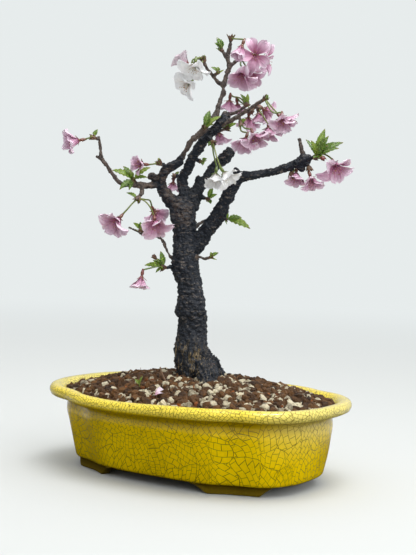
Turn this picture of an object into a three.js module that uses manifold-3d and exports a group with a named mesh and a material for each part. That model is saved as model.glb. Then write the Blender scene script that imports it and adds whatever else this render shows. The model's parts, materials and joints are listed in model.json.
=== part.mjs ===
// A cherry blossom bonsai in a lobed oval pot.
// Millimetres, +Z up. The origin is on the table under the middle of the pot,
// with the pot's long side along X. The tree is planted turned and leaning in its
// pot, so everything that grows is given as [across, depth, height] seen square to
// the front of the tree, in a group that is placed as a whole.

import * as THREE from 'three';
import { mergeVertices } from 'three/addons/utils/BufferGeometryUtils.js';
import Module from 'manifold-3d';

const wasm = await Module();
wasm.setup();

// ---------------------------------------------------------------------------
// Driving dimensions
// ---------------------------------------------------------------------------

const GAP = 0.3; // clearance between neighbouring pieces
const MERGE_DISTANCE = 1e-4;
const PLANTING = {
  turn: THREE.MathUtils.degToRad(32.7), // from the pot's long side
  lean: THREE.MathUtils.degToRad(1.46), // to the left of the tree's front
  across: 7.1,
  up: 2.9,
};

const POT = {
  halfLength: 152,
  halfWidth: 108,
  squareness: 2.52, // exponent of the oval: 2 is an ellipse, more is squarer
  notch: [97, 92.5], // where the lobes meet, in each quarter
  notchDepth: 6,
  notchWidth: 16,
  segments: 32,
};

// Pot wall as [inset from the widest outline, height], from underside to rim.
const POT_OUTSIDE = [
  [36.5, 9.5],
  [28, 10.5],
  [24.8, 16],
  [16.8, 59],
  [17, 65],
  [12, 69.3],
  [2.6, 70.6],
  [0, 75.8],
  [1.2, 80],
  [4.5, 81.9],
];
const SOIL_EDGE = [15.4, 77];
const POT_INSIDE = [
  [11.5, 80.8],
  SOIL_EDGE,
  [20.5, 65],
  [30, 24],
  [38, 17],
];
const POT_FLOOR = POT_INSIDE[4][1];

const FOOT = {
  middle: THREE.MathUtils.degToRad(46), // direction from the middle of the pot
  flatHalf: THREE.MathUtils.degToRad(12),
  reach: THREE.MathUtils.degToRad(21),
  outerInset: 28,
  innerInset: 39,
  top: 13,
  stations: 8,
};

const DRAIN = { radius: 9, from: 60, screenSize: 26, screenThickness: 1.2, slots: 3 };

const SOIL = { crown: 94, rings: 7, relief: 1.5 };
const SOIL_FLOOR = POT_FLOOR + DRAIN.screenThickness + 2 * GAP;

const BLADE = 0.6; // thickness of petals and leaves
const STALK = 0.62; // radius of a flower stalk
const CALYX = { length: 5, radius: 1.5, throat: 1.3 };
const CUP = { bottom: 1.4, top: 2.1, height: 2.6 }; // the small cup that carries the petals
const BUD = { depth: 2, length: 3.5, base: 0.9, tip: 0.6 }; // scales at the end of a spur
const LEAF = { serrated: 5, tooth: 0.16, arch: 0.1, fold: 0.3, tipHalfWidth: 0.45 };
const PETAL = {
  away: 1.1, // of the root from the bloom's axis
  ahead: 1, // of the root from the calyx
  curl: 0.22, // bend along its length, in radians
  widestAt: 0.6, // share of the length
  halfWidth: 0.375, // shares of the length
  endHalfWidth: 0.23,
  notch: 0.14,
  trough: 0.35,
};
const BRUSH = { share: 0.42, top: 1.6, bottom: 0.5 }; // stamens, as one prism

// ---------------------------------------------------------------------------
// Wood: centre lines as [across, depth, height, radius]
// ---------------------------------------------------------------------------

const TRUNK_FOOT = [
  { sides: 12, rough: 0.05, route: [
    [-3, 2, 60, 15], [-3, 2, 76, 17], [-4, 1, 90, 18.5], [-8, 0, 104, 17.6], [-11, 0, 120, 15.6],
    [-11, 1, 136, 14.5], [-10, 1, 150, 13.7], [-12, 0, 158, 14.4], [-13, -1, 170, 13],
    [-14, -1, 183, 12], [-17, 0, 194, 12.8], [-18, 1, 212, 12], [-18, 2, 230, 11.3],
    [-20, 2, 244, 11.8], [-23, 3, 258, 12], [-24, 3, 266, 9],
  ] },
  { sides: 7, rough: 0.08, route: [
    [-1, -5, 106, 9], [4, -12, 96, 10.5], [7, -18, 87, 8.5], [9, -22, 78, 7],
  ] },
  { sides: 7, rough: 0.1, route: [[0, -3, 108, 8], [8, -5, 100, 9.5], [13, -5, 91, 8.5], [16, -4, 79, 7]] },
  { sides: 6, rough: 0.08, route: [[-12, 0, 108, 9], [-17, -2, 94, 8], [-22, -4, 78, 6]] },
  { sides: 6, rough: 0.08, route: [[-6, 6, 106, 9], [-4, 15, 93, 9], [0, 23, 77, 5]] },
];

const LIMBS = [
  // right limb, rising to its elbow and out to the blunt end
  { sides: 8, rough: 0.06, route: [
    [-15, 2, 212, 8], [-4, 0, 224, 8], [3, -3, 235, 7.4], [14, -8, 250, 6.8], [20, -12, 263, 6.3],
    [26, -15, 275, 6.2], [33, -18, 285, 5.5], [48, -22, 288, 4.3], [63, -25, 290.5, 4],
    [76, -29, 294.5, 3.9], [87, -32, 298.5, 4.2], [94, -34, 302, 5], [99, -34, 304, 3.6],
  ] },
  { sides: 6, route: [[35, -18, 284, 4.5], [31, -17, 291, 3.6], [29, -17, 294, 2.4]] },
  { sides: 5, route: [[95, -34, 303, 3], [92, -34, 312, 1.8], [89, -35, 321, 1.5]] },
  { sides: 6, route: [[88, -32, 298, 4], [92, -33, 294, 3.4], [94, -34, 292, 2.2]] },
  // cut stub in the middle
  { sides: 7, rough: 0.07, route: [
    [-14, 6, 256, 8], [-9, 9, 271, 7], [-2, 12, 281, 5.2], [4, 15, 289, 4.8],
    [9, 18, 297, 5], [19, 22, 306, 5.6], [26, 26, 314.5, 5.2],
  ] },
  { sides: 6, route: [[-3, 12, 281, 4], [-6, 12, 285, 3.6], [-7, 12, 288, 2.2]] },
  // dark leader
  { sides: 7, rough: 0.07, route: [
    [-20, 3, 258, 8], [-20, 3, 273, 5.8], [-22, 2, 284, 5], [-17, 0, 293, 4.8], [-13, -2, 303, 4.8],
    [-7, -3, 312, 5], [-2, -5, 321, 5], [5, -6, 328, 4.7], [13, -8, 336, 4.4], [19, -9, 343, 4.6],
    [20, -9, 349, 3],
  ] },
  // brown limb on the left, climbing past the leader to the top
  { sides: 6, rough: 0.07, route: [
    [-26, 4, 256, 8], [-38, 2, 270, 6], [-42, 0, 278, 5], [-41, -2, 286, 4.8], [-36, -5, 294, 4.5],
    [-29, -8, 298, 4.4], [-22, -10, 302, 4],
  ] },
  { sides: 5, rough: 0.06, route: [
    [-26, -9, 299, 3.6], [-20, -13, 308, 3], [-14, -17, 319, 2.8], [-10, -18, 323, 3],
    [-3, -18, 328, 3.2], [3, -16, 337, 2.9], [10, -14, 345, 2.7], [13, -10, 356, 2.5],
    [17, -6, 366, 2.4], [18, -3, 376, 2.4], [21, 0, 387, 2.3], [23, 2, 394, 2.3],
    [21, 3, 401, 2.1], [18, 4, 406, 2],
  ] },
  { sides: 6, route: [[-40, -1, 283, 4], [-46, -3, 285, 3.4], [-52, -4, 287, 3.8], [-54, -5, 288, 2.4]] },
  // low limb to the far left
  { sides: 6, rough: 0.05, route: [
    [-38, 1, 274, 4.4], [-46, -1, 278, 3.5], [-54, -4, 278, 3.2], [-62, -8, 278, 3], [-72, -12, 278, 2.7],
    [-82, -16, 280, 2.5], [-87, -18, 286, 2.1], [-93, -21, 295, 1.9], [-98, -24, 302, 1.8],
    [-99, -26, 311, 1.6], [-100, -28, 323, 1.3],
  ] },
  { sides: 5, route: [[-98, -24, 301, 1.5], [-103, -25, 304, 1.2]] },
  // twigs on the right
  { sides: 6, route: [
    [11, -8, 335, 3], [20, -11, 338, 2.3], [26, -14, 341, 2.1], [38, -20, 348, 2.1], [46, -25, 353, 1.9],
    [53, -30, 357, 1.6],
  ] },
  { sides: 5, route: [[17, -8, 345, 2.4], [26, 0, 348, 1.7], [34, 7, 352, 1.5], [37, 7, 354, 1.9]] },
  { sides: 5, route: [[4, -6, 327, 2.4], [12, -2, 330, 1.7], [18, 2, 332.5, 1.5]] },
  // twigs at the top
  { sides: 5, route: [[17, -3, 374, 2.2], [9, -6, 381, 1.8], [3, -9, 388, 1.7], [-0.5, -11, 392.5, 2]] },
  { sides: 5, route: [[22, 2, 392, 2], [27, 6, 397.5, 1.8], [30, 8, 400, 1.6]] },
  { sides: 5, route: [[21, 3, 401, 2], [23, 2, 411, 2.2], [23.5, 1.5, 415, 2]] },
  // thin twigs low on the trunk
  { sides: 5, route: [
    [-26, 3, 203, 2.4], [-32, 4, 208, 1.8], [-37, 5, 216, 1.6], [-41, 8, 225, 1.5], [-49, 11, 229, 1.4],
    [-60, 14, 230, 1.3], [-68, 17, 234, 1.3], [-75, 19, 237, 1.2],
  ] },
  { sides: 5, route: [[-10, 6, 236, 2.2], [-4, 14, 242, 1.6], [7, 20, 247, 1.5], [15, 22, 250, 1.4]] },
  { sides: 5, route: [[-12, 0, 210, 2.2], [-5, -4, 209, 1.6], [1, -7, 207, 1.6]] },
  { sides: 5, route: [[-60, -8, 277.5, 2.4], [-60, -12, 270, 2.2]] },
];

// ---------------------------------------------------------------------------
// Sprays: a spur of wood, its flower stalks and its leaves
//   spur    two points [across, depth, height, radius]; the green starts beyond the second
//   stalks  via points, the place where the bloom sits and the way it faces
//   leaves  tip and width of each blade
// Blooms with one name touch, and are one piece.
// ---------------------------------------------------------------------------

const SPRAYS = [
  { name: 'far_left', spur: [[-99.5, -28, 320, 1.4], [-103, -29, 321, 1.5]],
    stalks: [
      { bloom: 'far_left', via: [[-110, -29, 321]], base: [-119, -29.5, 320.5], face: [-1, -0.2, -0.2],
        petal: 15, open: 50 },
    ],
    leaves: [{ tip: [-101.5, -28, 329.5], width: 4 }] },
  { name: 'left', spur: [[-36, -6, 294, 2], [-41.5, -10, 298, 1.6]],
    stalks: [
      { bloom: 'left', via: [[-50, -12, 298]], base: [-58, -14, 298.5], face: [-1, -0.35, 0.05],
        petal: 13, open: 52 },
    ],
    leaves: [{ tip: [-45, -10, 304], width: 3 }] },
  { name: 'hanging', spur: [[-60, -12, 270, 2.2], [-62.5, -14, 266.5, 2.2]],
    stalks: [
      { bloom: 'hanging_left', via: [[-68, -16, 261], [-74, -18, 254]], base: [-79, -20, 246.5],
        face: [-0.45, -0.35, -0.8], petal: 15.5, open: 55 },
      { bloom: 'hanging_right', via: [[-58, -18, 263], [-52, -20, 257]], base: [-48, -20, 247.5],
        face: [0.15, -0.4, -0.9], petal: 16, open: 52 },
      { bloom: 'hanging_back', via: [[-57, -8, 264], [-53, 3, 263]], base: [-49, 12, 259],
        face: [0.2, 0.6, -0.55], petal: 13, open: 55 },
    ],
    leaves: [{ tip: [-74.5, -15, 271], width: 4 }] },
  { name: 'low_left', spur: [[-28, 1, 198, 2.4], [-37, -5, 198.5, 1.6]],
    stalks: [
      { bloom: 'low_left', via: [[-44.5, -14, 199.5], [-52, -19, 198]], base: [-57.5, -22, 193],
        face: [-0.35, -0.25, -0.9], petal: 14, open: 55 },
    ],
    leaves: [
      { tip: [-42, -5, 214.5], width: 5.5 },
      { tip: [-57.5, -8, 200.5], width: 6 },
      { tip: [-47, -4, 193.5], width: 3 },
    ] },
  { name: 'crotch', spur: [[-21.5, 4, 287, 2], [-28, 15, 287.5, 1.5]],
    stalks: [
      { bloom: 'crotch', via: [], base: [-31, 20, 283.5], face: [-0.1, 0.1, -1], petal: 12, open: 40 },
    ],
    leaves: [{ tip: [-25.5, 19, 293], width: 3 }] },
  { name: 'white', spur: [[3, -9, 325, 2.4], [6.5, -15, 320.5, 1.8]],
    stalks: [
      { bloom: 'white_left', via: [[8, -17, 310]], base: [10, -15, 294], face: [-0.35, -0.3, -0.85],
        petal: 15, open: 48 },
      { bloom: 'white_right', via: [[9.5, -19, 312], [12, -24, 303]], base: [16, -29, 294],
        face: [0.7, -0.35, -0.6], petal: 15, open: 50 },
    ],
    leaves: [{ tip: [3, -19, 315.5], width: 4.5 }] },
  { name: 'top_left', spur: [[-0.5, -11, 392.5, 2.2], [-1.5, -12, 396, 2.2]],
    stalks: [
      { bloom: 'top_left_up', via: [[-5.5, -13, 398.5], [-12, -13, 398]], base: [-18, -13, 394.5],
        face: [-0.75, -0.2, 0.45], petal: 15, open: 45 },
      { bloom: 'top_left_front', via: [[-5, -17, 396.5], [-8, -22, 391]], base: [-10.5, -28, 387],
        face: [-0.1, -0.95, -0.15], petal: 15.5, open: 75 },
      { bloom: 'top_left_low', via: [[-3.5, -16, 394], [-4.5, -15, 382]], base: [-12, -10, 374],
        face: [-0.65, -0.35, -0.65], petal: 15.5, open: 55 },
    ],
    leaves: [{ tip: [-1, -11, 403], width: 3 }] },
  { name: 'top', spur: [[23.5, 1.5, 414, 2.2], [24, 1, 418.5, 1.9]],
    stalks: [
      { bloom: 'top', via: [[28, -4, 419.5]], base: [31, -9, 412.5], face: [-0.4, -0.1, -0.9],
        petal: 15, open: 26 },
    ],
    leaves: [] },
  { name: 'top_right', spur: [[30, 8, 400, 1.8], [33, 9.5, 401.5, 1.6]],
    stalks: [
      { bloom: 'top_right_front', via: [[40, 11, 403.5]], base: [47.5, 6, 405.5],
        face: [0.12, -0.97, -0.1], petal: 16, open: 75 },
      { bloom: 'top_right_back', via: [[42, 17, 402], [51.5, 22, 402]], base: [59.5, 24, 402.5],
        face: [0.85, 0.4, -0.1], petal: 14, open: 55 },
      { bloom: 'top_right_low', via: [[34, 6, 396]], base: [36, -4, 388], face: [-0.15, -0.35, -0.9],
        petal: 14.5, open: 56 },
      { bloom: 'top_right_mid', via: [[38, 14, 398]], base: [42, 16, 391.5], face: [0.45, 0.1, -0.8],
        petal: 15.5, open: 58 },
    ],
    leaves: [{ tip: [37, 8, 408], width: 4 }] },
  { name: 'mid', spur: [[36, 7, 353, 1.8], [38.5, 8, 356, 1.8]],
    stalks: [
      { bloom: 'mid', via: [[35, 16, 361]], base: [30.5, 20, 358.5], face: [0.15, 0.1, -0.95],
        petal: 13, open: 52 },
      { bloom: 'mid', via: [[34, 15, 365], [27, 16, 366.5]], base: [23, 15, 361.5], face: [-0.1, 0.25, -0.95],
        petal: 13, open: 52 },
    ],
    leaves: [{ tip: [34.5, 6, 368], width: 4.5 }, { tip: [41.5, 8, 368.5], width: 4 }] },
  { name: 'right_front', spur: [[32, -17, 344, 2], [33.5, -17, 340, 1.6]],
    stalks: [
      { bloom: 'right_front', via: [[34.5, -18, 330]], base: [36, -18, 320.5],
        face: [-0.2, -0.15, -0.95], petal: 15, open: 62 },
      { bloom: 'right_front', via: [[37.5, -22, 332.5]], base: [41.5, -27, 324],
        face: [0.35, -0.35, -0.85], petal: 15.5, open: 65 },
    ],
    leaves: [{ tip: [39, -19, 341], width: 5 }] },
  { name: 'right_back', spur: [[40.5, -20, 349, 2.2], [42.5, -12, 350, 1.8]],
    stalks: [
      { bloom: 'right_back', via: [], base: [42, -6, 345.5], face: [-0.1, 0.3, -0.95], petal: 14, open: 48 },
      { bloom: 'right_back', via: [[46, -5, 353]], base: [51.5, 3, 350.5], face: [0.1, 0.1, -1],
        petal: 14, open: 48 },
    ],
    leaves: [] },
  { name: 'right_knot', spur: [[47, -25, 352.5, 1.8], [50, -18, 352, 1.6]],
    stalks: [
      { bloom: 'right_back', via: [], base: [55, -13, 352], face: [0.7, 0.45, -0.45], petal: 13, open: 50 },
      { bloom: 'right_low', via: [[55, -20, 344.5], [60, -19, 337]], base: [62, -18, 332],
        face: [0, -0.2, -1], petal: 15, open: 62 },
    ],
    leaves: [] },
  { name: 'right_tip', spur: [[51, -28, 355.5, 1.7], [54.5, -30, 358, 1.5]],
    stalks: [
      { bloom: 'right_tip_far', via: [[61, -32, 353.5], [68, -33, 345.5]], base: [72, -31, 341.5],
        face: [0.75, 0, -0.65], petal: 15.5, open: 48 },
      { bloom: 'right_tip_near', via: [[59, -38, 352], [64, -43, 345]], base: [67.5, -48, 339.5],
        face: [-0.1, -0.35, -0.9], petal: 14, open: 48 },
    ],
    leaves: [{ tip: [59.5, -30, 363], width: 4 }] },
  { name: 'end', spur: [[97, -34, 302.5, 3], [102, -34, 304, 1.8]],
    stalks: [
      { bloom: 'end_far', via: [[109, -33, 308], [115.5, -36, 306]], base: [120, -41, 297.5],
        face: [0.25, -0.6, -0.75], petal: 16.5, open: 64 },
    ],
    leaves: [
      { tip: [115, -34, 332], width: 9 },
      { tip: [130, -38, 318.5], width: 9 },
      { tip: [97, -30, 321], width: 5 },
      { tip: [105.5, -42, 325.5], width: 6 },
      { tip: [113, -26, 316], width: 6 },
    ] },
  { name: 'end_low', spur: [[96, -34, 300, 3], [97.5, -34, 296.5, 1.8]],
    stalks: [
      { bloom: 'end_low', via: [], base: [99.5, -37, 286.5], face: [0.2, -0.15, -1], petal: 14, open: 58 },
    ],
    leaves: [] },
  { name: 'end_under', spur: [[83, -29, 297, 3], [82.5, -28, 291, 1.8]],
    stalks: [
      { bloom: 'end_under', via: [], base: [82, -27, 285], face: [-0.05, 0, -1], petal: 14, open: 36 },
    ],
    leaves: [] },
  { name: 'elbow', spur: [[-66, -10, 278.5, 2.6], [-67.5, -13, 281.5, 2]], stalks: [],
    leaves: [
      { tip: [-89, -12, 292], width: 7 },
      { tip: [-52.5, -19, 295], width: 7 },
      { tip: [-81, -22, 273], width: 6 },
      { tip: [-72.5, -16, 292], width: 4.5 },
    ] },
  { name: 'leader', spur: [[-2.5, -18, 329, 3], [-1, -22, 331.5, 1.8]], stalks: [],
    leaves: [
      { tip: [4.5, -23, 349], width: 6.5 },
      { tip: [15, -24, 343], width: 5 },
      { tip: [8, -26, 335.5], width: 4.5 },
    ] },
  { name: 'low_twig', spur: [[14.5, 2, 331.5, 1.6], [19, 4, 333.5, 1.4]],
    stalks: [
      { bloom: 'leader_back', via: [], base: [13, 12, 328], face: [0.2, 0.35, -0.9], petal: 13.5, open: 30 },
    ],
    leaves: [{ tip: [20, 2, 343], width: 5.5 }, { tip: [31, 4, 339], width: 4.5 }] },
  { name: 'top_side', spur: [[8, -4, 383, 1.8], [10.5, -7, 385.5, 1.6]], stalks: [],
    leaves: [{ tip: [12, -8, 392], width: 4 }, { tip: [5.5, -10, 391.5], width: 4 }] },
  { name: 'top_pair', spur: [[18.5, 4, 405, 2], [16.5, 5, 408.5, 1.8]], stalks: [],
    leaves: [{ tip: [11, 5, 422.5], width: 6.5 }, { tip: [16, 9, 420], width: 4 }] },
  { name: 'leader_mid', spur: [[-9, -5, 303, 3], [-4.5, -10, 301.5, 1.7]], stalks: [],
    leaves: [{ tip: [2, -12, 304], width: 4 }, { tip: [-1, -15, 298], width: 3.4 }] },
  { name: 'stub_base', spur: [[-3.5, 10, 268, 3], [1.5, 7, 266, 1.7]], stalks: [],
    leaves: [
      { tip: [8, 6, 277.5], width: 5 },
      { tip: [12, 4, 270.5], width: 4.5 },
      { tip: [6.5, 6, 261], width: 4 },
    ] },
  { name: 'large_leaf', spur: [[15, 22, 250, 1.7], [19.5, 21, 247, 1.6]], stalks: [],
    leaves: [{ tip: [45.5, 16, 237], width: 9 }, { tip: [23, 18, 254], width: 3.6 }] },
  { name: 'left_twig', spur: [[-57.5, 13, 229.5, 1.5], [-61, 12, 233, 1.4]], stalks: [],
    leaves: [{ tip: [-69.5, 11, 242], width: 4.5 }, { tip: [-63, 12, 242.5], width: 4 }] },
  { name: 'right_spur', spur: [[1, -7, 207, 1.6], [5, -9, 208.5, 1.5]], stalks: [],
    leaves: [{ tip: [14, -10, 213.5], width: 4 }, { tip: [6.5, -10, 214], width: 3 }] },
];

// ---------------------------------------------------------------------------
// Solids
// ---------------------------------------------------------------------------

/** A closed geometry as a solid that can be joined and cut. */
function solidOf(geometry) {
  geometry.deleteAttribute('normal');
  geometry.deleteAttribute('uv');
  const merged = mergeVertices(geometry, MERGE_DISTANCE);
  const triangles = [];
  for (let i = 0; i < merged.index.count; i += 3) {
    const corners = [0, 1, 2].map((k) => merged.index.getX(i + k));
    if (new Set(corners).size === 3) triangles.push(...corners);
  }
  return new wasm.Manifold(new wasm.Mesh({
    numProp: 3,
    vertProperties: new Float32Array(merged.attributes.position.array),
    triVerts: new Uint32Array(triangles),
  }));
}

/** A solid as a geometry. */
function geometryOf(solid) {
  const mesh = solid.getMesh();
  const geometry = new THREE.BufferGeometry();
  geometry.setAttribute('position', new THREE.BufferAttribute(mesh.vertProperties, 3));
  geometry.setIndex(new THREE.BufferAttribute(mesh.triVerts, 1));
  geometry.computeVertexNormals();
  return geometry;
}

/** Closed geometries joined into one solid. */
function joined(geometries) {
  return geometries.map(solidOf).reduce((whole, piece) => whole.add(piece));
}

/** A repeatable number from -0.5 to 0.5 for a pair of numbers. */
function grain(a, b) {
  const wave = Math.sin(a * 12.9898 + b * 78.233) * 43758.5453;
  return wave - Math.floor(wave) - 0.5;
}

const vector = (values) => new THREE.Vector3(values[0], values[1], values[2]);

/**
 * A round limb along a route of [x, y, z, radius] points, with flat ends.
 * rough makes the section uneven, and grow thickens the whole limb.
 */
function limb({ route, sides, rough = 0 }, grow = 0) {
  const centre = new THREE.CatmullRomCurve3(route.map(vector));
  const rings = route.length - 1;
  const geometry = new THREE.CylinderGeometry(1, 1, 1, sides, rings);
  const position = geometry.attributes.position;
  const frames = [];
  let across = new THREE.Vector3(0.3, 0.5, 0.8);
  for (let ring = 0; ring <= rings; ring += 1) {
    const along = centre.getTangent(ring / rings);
    across = across.clone().addScaledVector(along, -across.dot(along)).normalize();
    const radius = route[ring][3];
    const middle = centre.getPoint(ring / rings);
    if (ring === 0) middle.addScaledVector(along, -grow);
    if (ring === rings) middle.addScaledVector(along, grow);
    frames.push({ middle, across, upward: along.clone().cross(across), radius });
  }
  for (let i = 0; i < position.count; i += 1) {
    const ring = Math.round((position.getY(i) + 0.5) * rings);
    const [x, z] = [position.getX(i), position.getZ(i)];
    const side = Math.round((Math.atan2(x, z) / (2 * Math.PI)) * sides + sides) % sides;
    const { middle, across: first, upward, radius } = frames[ring];
    const reach = radius * (1 + rough * 2 * grain(side, ring)) + grow;
    const point = middle.clone().addScaledVector(first, z * reach).addScaledVector(upward, x * reach);
    position.setXYZ(i, point.x, point.y, point.z);
  }
  return geometry;
}

/**
 * A thin blade over a grid of columns and rows. place(side, along) gives the middle
 * of its thickness, with side from -1 to 1 and along from 0 to 1. Both faces are
 * split into triangles alike.
 */
function blade(columns, rows, place) {
  const grid = new THREE.PlaneGeometry(2, 1, columns, rows);
  const flat = grid.attributes.position;
  const step = 1e-3;
  const front = [];
  const back = [];
  for (let i = 0; i < flat.count; i += 1) {
    const side = flat.getX(i);
    const along = flat.getY(i) + 0.5;
    const middle = place(side, along);
    const acrossWay = place(side + step, along).sub(place(side - step, along));
    const alongWay = place(side, along + step).sub(place(side, along - step));
    const normal = acrossWay.cross(alongWay).normalize();
    front.push(...middle.clone().addScaledVector(normal, BLADE / 2).toArray());
    back.push(...middle.clone().addScaledVector(normal, -BLADE / 2).toArray());
  }
  const faces = Array.from(grid.index.array);
  const edges = new Map();
  const triangles = [];
  for (let i = 0; i < faces.length; i += 3) {
    const [a, b, c] = faces.slice(i, i + 3);
    triangles.push(a, b, c, a + flat.count, c + flat.count, b + flat.count);
    for (const [from, to] of [[a, b], [b, c], [c, a]]) {
      if (!edges.delete(`${to},${from}`)) edges.set(`${from},${to}`, [from, to]);
    }
  }
  for (const [from, to] of edges.values()) {
    triangles.push(to, from, from + flat.count, to, from + flat.count, to + flat.count);
  }
  const geometry = new THREE.BufferGeometry();
  geometry.setAttribute('position', new THREE.Float32BufferAttribute([...front, ...back], 3));
  geometry.setIndex(triangles);
  return geometry;
}

function addPiece(group, name, geometry, color, roughness, metalness = 0) {
  const mesh = new THREE.Mesh(geometry, new THREE.MeshStandardMaterial({ color, roughness, metalness }));
  mesh.name = name;
  group.add(mesh);
}

// ---------------------------------------------------------------------------
// Pot, screens and soil
// ---------------------------------------------------------------------------

/** Direction of a segment's edge, with the segments drawn together at the notches. */
function segmentAngle(index) {
  const quarter = POT.segments / 4;
  const half = quarter / 2;
  const notchAngle = Math.atan2(POT.notch[1], POT.notch[0]);
  const spread = 1.5;
  const inQuarter = (k) => (k <= half
    ? notchAngle * (1 - (1 - k / half) ** spread)
    : notchAngle + (Math.PI / 2 - notchAngle) * (k / half - 1) ** spread);
  const turn = Math.floor(index / quarter) % 4;
  const k = index % quarter;
  return turn % 2 === 0
    ? (turn * Math.PI) / 2 + inQuarter(k)
    : ((turn + 1) * Math.PI) / 2 - inQuarter(quarter - k);
}

/** Point of the pot's outline at an angle, moved inwards square to the outline. */
function outline(angle, inset) {
  const rim = (at) => {
    const [c, s] = [Math.cos(at), Math.sin(at)];
    const oval = (Math.abs(c / POT.halfLength) ** POT.squareness
      + Math.abs(s / POT.halfWidth) ** POT.squareness) ** (-1 / POT.squareness);
    const away = Math.hypot(Math.abs(oval * c) - POT.notch[0], Math.abs(oval * s) - POT.notch[1]);
    const reach = oval - POT.notchDepth * Math.exp(-((away / POT.notchWidth) ** 2));
    return new THREE.Vector2(c * reach, s * reach);
  };
  const step = 0.02;
  const way = rim(angle + step).sub(rim(angle - step)).normalize();
  return rim(angle).add(new THREE.Vector2(-way.y, way.x).multiplyScalar(inset));
}

/**
 * A body of lobed rings. Each row of the profile is { inset, height, share }, where
 * share draws the ring in towards the axis; the first and last rows lie on the axis.
 */
function lobedBody(profile, raise = () => 0) {
  const dummy = profile.map((row, j) => new THREE.Vector2(1, j));
  const geometry = new THREE.LatheGeometry(dummy, POT.segments);
  const position = geometry.attributes.position;
  for (let i = 0; i <= POT.segments; i += 1) {
    const angle = segmentAngle(i % POT.segments);
    profile.forEach(({ inset, height, share = 1 }, j) => {
      const edge = outline(angle, inset).multiplyScalar(share);
      position.setXYZ(i * profile.length + j, edge.x, edge.y, height + raise(i % POT.segments, j));
    });
  }
  return geometry;
}

const onAxis = (height) => ({ inset: 0, height, share: 0 });
const wallRows = (wall) => wall.map(([inset, height]) => ({ inset, height }));

/** Bracket foot: a curved bar with an ogee at each end, under one quarter of the pot. */
function foot(signX, signY) {
  const { middle, flatHalf, reach, outerInset, innerInset, top, stations } = FOOT;
  const geometry = new THREE.BoxGeometry(2, 2, 2, stations, 1, 1);
  const position = geometry.attributes.position;
  for (let i = 0; i < position.count; i += 1) {
    const turn = position.getX(i) * reach;
    const edge = outline(middle - turn, position.getY(i) > 0 ? outerInset : innerInset);
    const out = Math.max(0, (Math.abs(turn) - flatHalf) / (reach - flatHalf));
    const ogee = (POT_OUTSIDE[0][1] + 1) * THREE.MathUtils.smoothstep(out, 0, 1);
    position.setXYZ(i, edge.x * signX, edge.y * signY, position.getZ(i) > 0 ? top : ogee);
  }
  if (signX * signY < 0) {
    const order = geometry.index.array;
    for (let i = 0; i < order.length; i += 3) [order[i], order[i + 1]] = [order[i + 1], order[i]];
  }
  return geometry;
}

function pot() {
  const shell = lobedBody([
    onAxis(POT_OUTSIDE[0][1]), ...wallRows(POT_OUTSIDE), ...wallRows(POT_INSIDE), onAxis(POT_FLOOR),
  ]);
  let body = solidOf(shell);
  for (const signX of [-1, 1]) {
    for (const signY of [-1, 1]) body = body.add(solidOf(foot(signX, signY)));
  }
  for (const side of [-1, 1]) {
    const hole = new THREE.CylinderGeometry(DRAIN.radius, DRAIN.radius, 2 * POT_FLOOR, 14);
    hole.rotateX(Math.PI / 2).translate(side * DRAIN.from, 0, POT_FLOOR / 2);
    body = body.subtract(solidOf(hole));
  }
  return geometryOf(body);
}

/** Slotted plastic screen over a drain hole. */
function drainScreen(side) {
  const { screenSize, screenThickness, slots } = DRAIN;
  const pitch = screenSize / (slots + 1);
  let screen = solidOf(new THREE.BoxGeometry(screenSize, screenSize, screenThickness));
  for (let k = 0; k < slots; k += 1) {
    const slot = new THREE.BoxGeometry(pitch / 2, screenSize * 0.7, 2 * screenThickness);
    slot.translate((k - (slots - 1) / 2) * pitch, 0, 0);
    screen = screen.subtract(solidOf(slot));
  }
  return geometryOf(screen).translate(side * DRAIN.from, 0, POT_FLOOR + GAP + screenThickness / 2);
}

/** The bed of granules: fills the pot, mounded to the trunk, with an uneven top. */
function soil() {
  const clear = GAP * 1.2;
  const wall = POT_INSIDE.slice(1, 4).reverse().map(([inset, height]) => [inset + clear, height]);
  const floorInset = POT_INSIDE[4][0] - 1;
  const rows = [onAxis(SOIL_FLOOR), ...wallRows([[floorInset, SOIL_FLOOR], ...wall])];
  const firstTopRow = rows.length;
  for (let ring = SOIL.rings - 1; ring >= 0; ring -= 1) {
    const share = ring / SOIL.rings;
    const height = SOIL.crown - (SOIL.crown - SOIL_EDGE[1]) * share ** 1.6;
    rows.push({ inset: SOIL_EDGE[0] + clear, height, share });
  }
  const lastRow = rows.length - 1;
  const raise = (i, j) => (j >= firstTopRow && j < lastRow ? 2 * SOIL.relief * grain(i + 7, j) : 0);
  const bed = solidOf(lobedBody(rows, raise));
  return TRUNK_FOOT.reduce(
    (rest, piece) => rest.subtract(solidOf(limb(piece, GAP).applyMatrix4(tree.matrix))),
    bed,
  );
}

// ---------------------------------------------------------------------------
// Tree
// ---------------------------------------------------------------------------

function wood() {
  const spurs = SPRAYS.map(({ spur }) => ({ route: spur, sides: 4 }));
  return geometryOf(joined([...TRUNK_FOOT, ...LIMBS, ...spurs].map((piece) => limb(piece))));
}

/** Where the green of a spray starts, and the way its spur points. */
function budOf({ spur }) {
  const end = vector(spur[1]);
  const way = end.clone().sub(vector(spur[0])).normalize();
  const start = end.clone().addScaledVector(way, GAP);
  const middle = start.clone().addScaledVector(way, BUD.depth);
  return { way, start, middle, radius: spur[1][3] };
}

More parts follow.
